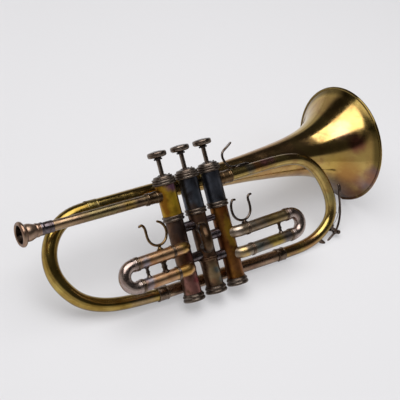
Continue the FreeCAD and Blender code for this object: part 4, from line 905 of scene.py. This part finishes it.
mouthpipe()
receiver()
socket("mouthpipe_socket_turned", "mouthpipe_socket", "socket_bronze", [
    (5.05, 6.0), (6.3, 6.0), (6.3, 12.4), *roll(6.3, 12.7, 14.7, 0.4),
    (6.3, 15.0), (6.3, 19.0), (6.3, 23.3), *roll(6.35, 23.5, 25.1, 0.4),
    (6.3, 25.3), *roll(6.35, 25.5, 26.8, 0.32), (6.2, 27.0), (5.05, 27.0)],
    PIPE_START, PIPE_DIR)
socket("exit_socket_turned", "exit_socket", "exit_bronze", [
    (6.67, 6.0), (7.1, 6.0), (7.1, 12.4), *roll(7.1, 12.7, 14.7, 0.4),
    (7.1, 15.0), (7.1, 18.0), (7.1, 20.6), *roll(7.1, 20.9, 22.7, 0.4),
    (7.1, 22.95), *roll(7.1, 23.2, 24.8, 0.36), (7.0, 25.1), (6.67, 25.2)],
    (VALVE_X[2], 0, EXIT_Z), (1, 0, 0))
mouthpiece()


# ------------------------------------------------------------------ valves
def top_caps():
    profile = [(10.35, 128.02), (12.0, 128.02), *roll(12.1, 128.1, 130.5, 0.85, 14),
               *roll(12.0, 131.0, 133.1, 0.85, 14), *roll(11.8, 133.6, 135.3, 0.75, 14),
               (10.9, 135.5), (10.6, 135.8), (10.45, 136.7), (10.1, 137.15), (9.6, 137.45),
               (8.0, 137.75), (6.2, 138.0), (5.3, 138.3), (4.7, 138.65), (4.3, 138.95),
               (4.1, 139.0), (2.55, 139.0), (2.5, 138.9), (2.5, 134.0), (10.35, 134.0)]
    stub = [(0, 136.6), (0.85, 136.6), (0.85, 138.4), (0.7, 138.7), (0, 138.8)]
    caps = Build()
    for x in VALVE_X:
        caps.lathe(profile, (x, 0, 0), UP_AXIS, 160)
        # small round stub on the cap's +x side
        caps.lathe(stub, (x + 7.6, -1.5, 0), UP_AXIS, 24)
    make("top_caps_turned", caps, "cap_bronze", "top_caps", sharp=48)


def bottom_caps():
    profile = [(0, 0.0), (3.0, 0.0), (3.3, 0.25), (3.6, 0.0), (10.9, 0),
               *roll(11.3, 0.05, 2.9, 0.85, 12), (11.1, 3.2), (10.95, 3.7),
               *roll(11.0, 4.1, 6.4, 0.8, 12), (10.8, 6.9), (10.65, 7.3), (10.55, 7.95),
               (9.45, 7.98), (9.45, 2.0), (0, 2.0)]
    caps = Build()
    for x in VALVE_X:
        caps.lathe(profile, (x, 0, 0), UP_AXIS, 160)
    make("bottom_caps_turned", caps, "cap_bronze", "bottom_caps", sharp=48)


def casing_rings():
    """Rings over the step between the lower and the upper casings."""
    step = 91.48
    profile = [(LOWER_CASING_R, 88.4), (10.9, 88.4), *roll(11.2, 88.5, 90.9, 0.8, 12),
               (11.0, 91.2), (11.0, 91.6), *roll(11.2, 91.9, 94.4, 0.8, 12), (10.9, 94.6),
               (UPPER_CASING_R, 94.6), (UPPER_CASING_R, step), (LOWER_CASING_R, step)]
    rings = Build()
    for x in VALVE_X:
        rings.lathe(profile, (x, 0, 0), UP_AXIS, 140)
    make("casing_rings_turned", rings, "cap_bronze", "casing_rings", slot="ferrule_bronze",
         sharp=48)


def finger_button(number, x):
    """Button; heights in its profile are from its underside."""
    stem_r, underside = 2.47, 156.5
    dish = smooth([(3.5, 0), (3.8, 0.6), (5.6, 0.85), (7.6, 1.1), (9.3, 1.6), (10.1, 2.3),
                   (10.45, 3.1)], 16)[:-1]
    crown = smooth([(10.48, 5.4), (10.3, 6.1), (9.8, 6.75), (9.0, 7.15), (7.6, 7.45),
                    (6.0, 7.7), (3.0, 8.05), (0.5, 8.15)], 24)
    profile = [(stem_r, 0), *dish, (10.5, 3.4), (10.5, 3.9), (10.2, 4.1), (10.15, 4.25),
               (10.2, 4.4), (10.5, 4.6), (10.5, 5.1), *crown, (0, 8.15), (0, 2.45),
               (stem_r, 2.45)]
    make("finger_button_%d_turned" % number,
         Build().lathe(profile, (x, 0, underside), UP_AXIS, 96), "stem_pewter",
         "finger_button_%d" % number, body="valve_%d" % number, sharp=50)


def valve_spring(number, x):
    turns, coil_r, wire_r, bottom, rise_per_turn = 7, 6.3, 0.5, 2.7, 3.7
    q = np.linspace(0, turns * 2 * math.pi, turns * 36 + 1)
    coil = np.stack([x + coil_r * np.cos(q), coil_r * np.sin(q),
                     bottom + rise_per_turn * q / (2 * math.pi)], 1)
    spring = make("valve_spring_%d_wound" % number, Build().sweep(coil, wire_r, 12),
                  "wire_steel", "valve_spring_%d" % number)
    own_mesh(spring)


top_caps()
bottom_caps()
casing_rings()
for number, x in enumerate(VALVE_X, 1):
    finger_button(number, x)
    valve_spring(number, x)


# ------------------------------------------------------------------ ferrules of the bows
def ferrule(r_in, z0, z1, lift):
    """Sleeve with a bead at each end."""
    bead_r, low_r = r_in + lift * 0.5, r_in + lift * 0.55
    return [(r_in, z0), (low_r, z0), *ridge(bead_r, z0 + 0.05, z0 + 1.7, lift * 0.5),
            (low_r, z0 + 1.9), (r_in + lift * 0.62, z0 + (z1 - z0) * 0.5), (low_r, z1 - 1.9),
            *ridge(bead_r, z1 - 1.7, z1 - 0.05, lift * 0.5), (low_r, z1), (r_in, z1)]


def bow_ferrules():
    branch = BRANCH_END - BRANCH_START
    length = float(np.linalg.norm(branch))
    ferrules = Build()
    ferrules.lathe(ferrule(8.36, -5.8, 7.0, 0.3), BELL_TAIL, BELL_DIR, 96)
    ferrules.lathe(ferrule(7.05, -0.5, 12.0, 1.0), BRANCH_START, branch, 96)
    ferrules.lathe(ferrule(6.87, length - 8.0, length + 3.0, 1.0), BRANCH_START, branch, 96)
    make("bow_ferrules_turned", ferrules, "ferrule_bronze", "bow_ferrules", sharp=40)


bow_ferrules()


# ------------------------------------------------------------------ slides
def slide_1_tubes():
    """Tubes that leave casing 1 towards -y and turn to run towards -x."""
    tubes = Build()
    for z in SLIDE1_LEVELS:
        path = turtle((-3.0, -10.6, z), (0, -1, 0), (-1, 0, 0),
                      [("A", 7.39, 90), ("L", SLIDE1_END - 3.0 - 7.4)])
        path = np.concatenate([[(-3.0, -10.3, z)], path])
        tubes.sweep(path, SLIDE_R, 56, bore=SLIDE_BORE, saddle=(VALVE_X[0], LOWER_CASING_R))
    make("slide_1_outer_drawn", tubes, "slide_copper", "slide_1_outer_tubes", dents=0.03,
         dent_size=14)


def slide_2_point(z, distance):
    """Point on a second slide tube, this far from the axis of its casing."""
    return np.array([VALVE_X[1], 0, z]) + SLIDE2_DIR * distance


def slide_2_tubes():
    tubes = Build()
    for z in SLIDE2_LEVELS:
        path = np.linspace(slide_2_point(z, 11.0), slide_2_point(z, SLIDE2_END), 8)
        tubes.sweep(path, SLIDE2_R, 56, bore=5.2, saddle=(VALVE_X[1], LOWER_CASING_R))
    make("slide_2_outer_drawn", tubes, "slide_dark", "slide_2_outer_tubes",
         slot="slide_nickel", dents=0.02, dent_size=14)


def slide_3_tubes():
    """Tubes that leave casing 3 at an angle and turn to run towards +x."""
    turn_r = 10.0
    sine, cosine = math.sin(SLIDE3_ANGLE), math.cos(SLIDE3_ANGLE)
    direction = np.array([cosine, -sine, 0.0])
    turn_x = turn_r * sine
    start_y = SLIDE3_Y + turn_r * (1 - cosine)
    start_x = VALVE_X[2] + abs(start_y) / sine * cosine
    tubes = Build()
    for z in SLIDE3_LEVELS:
        start = np.array([start_x, start_y, z])
        path = turtle(start, direction, (sine, cosine, 0),
                      [("A", turn_r, 50), ("L", SLIDE3_END - start_x - turn_x)])
        path = np.concatenate([[start - direction * 0.4], path])
        tubes.sweep(path, SLIDE_R, 56, bore=SLIDE_BORE, saddle=(VALVE_X[2], LOWER_CASING_R))
    make("slide_3_outer_drawn", tubes, "slide_nickel", "slide_3_outer_tubes", dents=0.03,
         dent_size=14)


def slide_bow(number, start, direction, gap, r, straight, ring_r, ring_width, leg_r, bore,
              finish="crook_nickel"):
    """U bow from start, down by gap and back, with a ring round each end.

    Its first 3 mm at each end are bored wider, for a leg of radius leg_r.
    """
    start, direction = np.asarray(start, float), np.asarray(direction, float)
    path = turtle(start, direction, (0, 0, -1),
                  [("L", straight), ("A", gap / 2, 180), ("L", straight)])
    step = 3.0 / (straight * 2 + math.pi * gap / 2)
    # rows are added on both sides of each step in the bore, so that it is clean
    cuts = [0.0, step * 0.98, step * 1.02, 1 - step * 1.02, 1 - step * 0.98, 1.0]
    t = path_fraction(path)
    rows = np.unique(np.concatenate([t, cuts]))
    path = np.stack([np.interp(rows, t, path[:, i]) for i in range(3)], 1)
    bow = Build().sweep(path, lambda t: r + 0.12 * max(0.0, 1 - abs(t - 0.5) / 0.012), 56,
                        bore=lambda t: leg_r + 0.06 if t < step or t > 1 - step else bore)
    inside, low = r - 0.2, ring_r - 0.45
    ring = [(inside, 0.0), (low, 0.0), *ridge(low, 0.02, ring_width * 0.5, 0.45),
            (ring_r - 0.4, ring_width * 0.56), (ring_r - 0.4, ring_width * 0.64),
            *ridge(low, ring_width * 0.66, ring_width - 0.02, 0.4), (inside, ring_width)]
    for end in (start, start + np.array([0, 0, -gap])):
        bow.lathe(ring, end, direction, 80)
    make("slide_%d_bow_bent" % number, bow, finish, "slide_%d_bow" % number,
         slot="crook_nickel", body="slide_%d" % number, sharp=40, dents=0.02, dent_size=12)


def slide_bands():
    bands = Build()

    def band(tube_r, start, direction, width=3.2, lift=0.75):
        """Band of two beads with a groove between, round a tube."""
        r_in = tube_r + 0.02
        bead_r, groove_r = r_in + lift * 0.5, r_in + lift * 0.45
        profile = [(r_in, 0.0), (bead_r, 0.0), *ridge(bead_r, 0.03, width * 0.42, lift * 0.5),
                   (groove_r, width * 0.47), (groove_r, width * 0.55),
                   *ridge(bead_r, width * 0.6, width - 0.03, lift * 0.5),
                   (bead_r, width), (r_in, width)]
        bands.lathe(profile, start, direction, 88)

    for z in SLIDE1_LEVELS:
        for x in (-19.5, -(SLIDE1_END - 3.3)):
            band(SLIDE_R, (x, SLIDE1_Y, z), (-1, 0, 0))
    for z in SLIDE3_LEVELS:
        for x in (77.6, SLIDE3_END - 3.3):
            band(SLIDE_R, (x, SLIDE3_Y, z), (1, 0, 0))
    for z in SLIDE2_LEVELS:
        band(SLIDE2_R, slide_2_point(z, SLIDE2_END - 2.8), SLIDE2_DIR, width=2.7, lift=0.65)
    make("slide_bands_turned", bands, "ferrule_bronze", "slide_bands", sharp=40)


slide_1_tubes()
slide_2_tubes()
slide_3_tubes()
LONG_BOW = dict(r=6.5, straight=4.0, ring_r=7.1, ring_width=3.5, leg_r=5.75, bore=5.1)
slide_bow(1, (-(SLIDE1_END + BOW_PLAY), SLIDE1_Y, SLIDE1_TOP), (-1, 0, 0), SLIDE1_GAP,
          **LONG_BOW)
slide_bow(2, slide_2_point(SLIDE2_TOP, SLIDE2_END + BOW_PLAY), SLIDE2_DIR, SLIDE2_GAP, r=5.9,
          straight=3.0, ring_r=6.6, ring_width=2.6, leg_r=5.15, bore=4.5, finish="slide_dark")
slide_bow(3, (SLIDE3_END + BOW_PLAY, SLIDE3_Y, SLIDE3_TOP), (1, 0, 0), SLIDE3_GAP, **LONG_BOW)
slide_bands()

# ------------------------------------------------------------------ hooks
# (x, z) along the wire of each hook
HOOK_1 = [(-51.1, 95.3), (-48.4, 96.0), (-46.2, 93.8), (-45.3, 89.5), (-45.3, 84.3),
          (-44.8, 79.9), (-42.4, 75.3), (-38.4, 72.2), (-33.4, 71.2), (-28.3, 72.6),
          (-24.6, 75.9), (-22.5, 80.2), (-21.9, 84.9), (-23.0, 89.2), (-25.6, 92.8),
          (-29.4, 95.2)]
HOOK_3 = [(73.2, 91.2), (70.2, 91.4), (67.6, 88.3), (66.2, 83.7), (66.0, 79.0), (67.3, 73.6),
          (70.7, 69.6), (75.4, 67.3), (80.8, 67.2), (86.0, 69.6), (89.2, 73.6), (90.6, 79.2),
          (90.5, 84.8), (90.4, 88.6), (92.2, 91.4), (95.3, 92.0)]
FINGER_HOOK = [(108.0, 124.9), (100.0, 124.9), (91.5, 125.0), (85.2, 126.4), (81.6, 130.6),
               (79.7, 135.5), (79.2, 140.2), (81.2, 144.3), (85.6, 147.0), (90.2, 149.5),
               (94.0, 151.7)]


def hook_wire(points, y, r):
    """Bent wire, slightly thinner at its ends."""
    def radius(t):
        return r * (1.0 - 0.12 * max(0, 1 - t / 0.05) - 0.12 * max(0, 1 - (1 - t) / 0.05))
    path = spline([(x, y, z) for x, z in points], 110)
    return Build().sweep(path, radius, 28, round_ends=True)


def slide_hook(number, finish, points, y, stud_x, z0, z1, flange):
    """Hook on a stud: a base in the tube at z0, a flange, and a waisted stem up to z1."""
    r = 2.0
    stud = [(0, z0 - 1.2), (r * 1.5, z0 - 1.2), (r * 1.7, z0), (r * 1.75, z0 + flange * 0.6),
            (r * 1.45, z0 + flange), (r * 1.05, z0 + flange + 0.5), (r * 0.9, z0 + flange + 1.4),
            (r * 0.95, z1 - 1.0), (r * 0.8, z1 - 0.2), (r * 0.4, z1), (0, z1)]
    hook = hook_wire(points, y, 1.4).lathe(stud, (stud_x, y, 0), UP_AXIS, 40)
    make("slide_%d_hook_wire" % number, hook, finish, "slide_%d_hook" % number,
         slot="dark_steel", sharp=42)


def little_finger_hook():
    hook = hook_wire(FINGER_HOOK, 0.0, 1.35)
    # foot: a bar along x that swells in the middle
    bar = [(x, 0, 124.1) for x in np.linspace(91.6, 110.4, 25)]
    hook.sweep(bar, lambda t: 0.5 + 1.75 * math.sin(math.pi * (0.04 + 0.92 * t)) ** 0.5, 28,
               round_ends=True)
    make("little_finger_hook_wire", hook, "dark_steel", "little_finger_hook", sharp=42)


slide_hook(1, "hook_bronze", HOOK_1, SLIDE1_Y, stud_x=-34.5, z0=66.3, z1=72.0, flange=1.4)
slide_hook(3, "dark_steel", HOOK_3, SLIDE3_Y, stud_x=78.5, z0=63.9, z1=67.9, flange=1.2)
little_finger_hook()

# ------------------------------------------------------------------ water key lever
# (x, z) in the loop's plane
KEY_ROD = [(225.0, 13.4), (228.8, 18.4), (232.4, 25.5), (234.7, 33.0), (235.9, 41.5),
           (236.4, 50.0), (237.3, 57.0), (238.0, 63.0), (237.8, 66.4)]
KEY_ARM = [(225.0, 11.8), (219.6, 9.9), (213.5, 6.6), (206.4, 3.1)]
KEY_CUP = [(0, -1.3), (2.6, -1.3), (3.0, -0.6), (3.05, 0.0), (3.0, 0.6), (2.6, 1.3), (0, 1.3)]


def ball(r, squat=1.0):
    """Profile of a ball, its height scaled by squat."""
    angles = [math.pi * k / 20 for k in range(1, 20)]
    return [(0, -r * squat), *[(r * math.sin(a), -r * squat * math.cos(a)) for a in angles],
            (0, r * squat)]


def key_rod_radius(t):
    """Swells towards the touch end, then falls off a little."""
    swell = max(0.0, min(1.0, (t - 0.66) / 0.2)) ** 1.5
    return 1.35 + 1.05 * swell * (1.0 - 0.35 * max(0.0, (t - 0.9) / 0.1))


def water_key():
    across = np.array([0.0, -math.cos(LOOP_TILT), -math.sin(LOOP_TILT)])
    tip = loop_at_z(204.7, 2.1)
    # the cup faces the station of the loop above it
    facing = unit(loop_point(*LOOP[14]) - tip)
    key = Build()
    key.sweep(spline([loop_at_z(x, z) for x, z in KEY_ROD], 120), key_rod_radius, 28,
              round_ends=True)
    key.sweep(spline([loop_at_z(x, z) for x, z in KEY_ARM], 50), lambda t: 1.5 - 0.3 * t, 24,
              round_ends=True)
    key.lathe(ball(3.0, squat=0.98), loop_at_z(225.0, 12.2), across, 40)
    key.lathe(KEY_CUP, tip - facing * 0.6, facing, 48)
    key.lathe(ball(2.9), tip - facing * 2.0, across, 40)
    make("water_key_lever_bent", key, "key_steel", "water_key_lever",
         slot=SLOT_OF["water_key_lever"], body="water_key", sharp=45)


water_key()

# ------------------------------------------------------------------ camera (metres from here on)
# the camera's own directions in the frame of the horn; TOWARD points back at the viewer
RIGHT = Vector((0.8181876, -0.5179816, -0.2495276))
UP = Vector((0.2587508, -0.0558322, 0.9643292))
TOWARD = Vector((-0.5134365, -0.8535677, 0.0883470))
CAMERA_PLACE = Vector((-0.46230, -0.83094, 0.18707))


def add_object(name, data):
    ob = bpy.data.objects.new(name, data)
    bpy.context.scene.collection.objects.link(ob)
    return ob


def camera():
    data = bpy.data.cameras.new("camera")
    ob = add_object("camera", data)
    data.sensor_width = 36.0
    data.lens = 81.0
    data.clip_start = 0.01
    data.clip_end = 20.0
    turn = Matrix((RIGHT, UP, TOWARD)).transposed()
    ob.matrix_world = Matrix.Translation(CAMERA_PLACE) @ turn.to_4x4()
    bpy.context.scene.camera = ob


camera()

# ------------------------------------------------------------------ floor
# the horn rests on the bell rim, the bell bow and the bottom caps
RESTS = [Vector(p) * MM for p in ((278.5, 110.0, 112.0), (-95.0, 29.5, 20.5), (29.0, 12.9, 0.0))]
FLOOR_NORMAL = (RESTS[1] - RESTS[0]).cross(RESTS[2] - RESTS[0]).normalized()
FLOOR_DROP = 0.0012
FLOOR_HALF = 1.15


def floor_material():
    """Pale floor with painted shade a little darker towards the camera's left, a faint glow of
    painted light that lifts its shadows, and clear from below.
    """
    mat = Material("pale_floor")
    place = mat.node("TexCoord").outputs["Object"]
    # painted shade: the floor's tint darkens towards the camera's left
    shade = mat.node("MapRange", {
        "Value": mat.vector("DOT_PRODUCT", place, tuple(RIGHT)),
        "From Min": -0.22, "From Max": 0.30, "To Min": 0.90, "To Max": 1.02})
    tint = mat.node("VectorMath", {0: (0.374, 0.371, 0.380), "Scale": shade.outputs["Result"]},
                    operation="SCALE")
    # the plain base colour shows only if the shaded tint is unlinked
    # the emission is painted light: the floor glows to lift the shadows on it
    surface = mat.node("BsdfPrincipled", {
        "Base Color": (0.745, 0.735, 0.775, 1), "Roughness": 0.65,
        "Emission Color": (1.0, 0.992, 1.015, 1.0), "Emission Strength": 0.33})
    put(surface.inputs["Base Color"], tint.outputs[0])
    below = mat.node("NewGeometry").outputs["Backfacing"]
    clear = mat.node("BsdfTransparent").outputs[0]
    mixed = mat.node("MixShader", {0: below, 1: surface.outputs[0], 2: clear})
    put(mat.output.inputs[0], mixed.outputs[0])
    return mat.material


def floor():
    centre = (RESTS[0] + RESTS[1] + RESTS[2]) / 3 - FLOOR_NORMAL * FLOOR_DROP
    across = (Vector((1, 0, 0)) - FLOOR_NORMAL * FLOOR_NORMAL.x).normalized()
    along = FLOOR_NORMAL.cross(across)
    half = FLOOR_HALF
    corners = [tuple(centre + across * a + along * b)
               for a, b in ((-half, -half), (half, -half), (half, half), (-half, half))]
    mesh = bpy.data.meshes.new("floor")
    mesh.from_pydata(corners, [], [(0, 1, 2, 3)])
    add_object("floor", mesh)
    mesh.materials.append(floor_material())


floor()

# ------------------------------------------------------------------ lights
MIDDLE = Vector((0.06, 0.02, 0.07))


def area_light(name, size, power):
    light = bpy.data.lights.new(name, "AREA")
    light.energy = power
    light.size = size
    return add_object(name, light)


def key_light():
    """One large softbox nearly overhead of the floor."""
    direction = (RIGHT * -0.12 + UP * 0.72 + TOWARD * 0.62).normalized()
    # corner is the way one corner of the softbox points
    corner = RIGHT * -0.34 + UP * 0.09 + TOWARD * 0.94
    corner = (corner - direction * corner.dot(direction)).normalized()
    other = direction.cross(corner)
    x, y = (corner - other).normalized(), (corner + other).normalized()
    turn = Matrix((x, y, x.cross(y))).transposed()
    place = MIDDLE + direction * 1.3 + turn @ Vector((-0.15, 0.085, 0.0))
    ob = area_light("key", size=1.46, power=20.0)
    ob.data.shape = "RECTANGLE"
    ob.data.size_y = 1.20
    ob.matrix_world = Matrix.Translation(place) @ turn.to_4x4()


def fill_light():
    """Soft fill over the floor, kept out of the mirror-like metal."""
    ob = area_light("fill", size=2.6, power=20.0)
    ob.location = MIDDLE + (FLOOR_NORMAL * 1.2 + RIGHT * 0.30).normalized() * 1.4
    direction = (MIDDLE - ob.location).normalized()
    ob.rotation_euler = direction.to_track_quat("-Z", "Y").to_euler()
    ob.visible_glossy = False


def world():
    """Dark room with pale low walls, higher on the side of the camera."""
    wall_glow, room_glow = 0.46, 0.03
    made = bpy.data.worlds.new("world")
    bpy.context.scene.world = made
    made.use_nodes = True
    nodes = Nodes(made.node_tree)
    background = made.node_tree.nodes["Background"]
    view = nodes.node("TexCoord").outputs["Generated"]
    near = (TOWARD - FLOOR_NORMAL * TOWARD.dot(FLOOR_NORMAL)).normalized()
    top = nodes.muladd(nodes.vector("DOT_PRODUCT", view, tuple(near)), by=0.15, plus=0.32)
    height = nodes.vector("DOT_PRODUCT", view, tuple(FLOOR_NORMAL))
    wall = nodes.ramp(nodes.sub(height, top), zero=0.09, one=-0.09)
    put(background.inputs["Strength"], nodes.muladd(wall, by=wall_glow, plus=room_glow))
    background.inputs["Color"].default_value = (0.98, 0.95, 0.92, 1)


key_light()
fill_light()
world()
bpy.context.scene.view_settings.view_transform = "Standard"
bpy.context.scene.view_settings.look = "None"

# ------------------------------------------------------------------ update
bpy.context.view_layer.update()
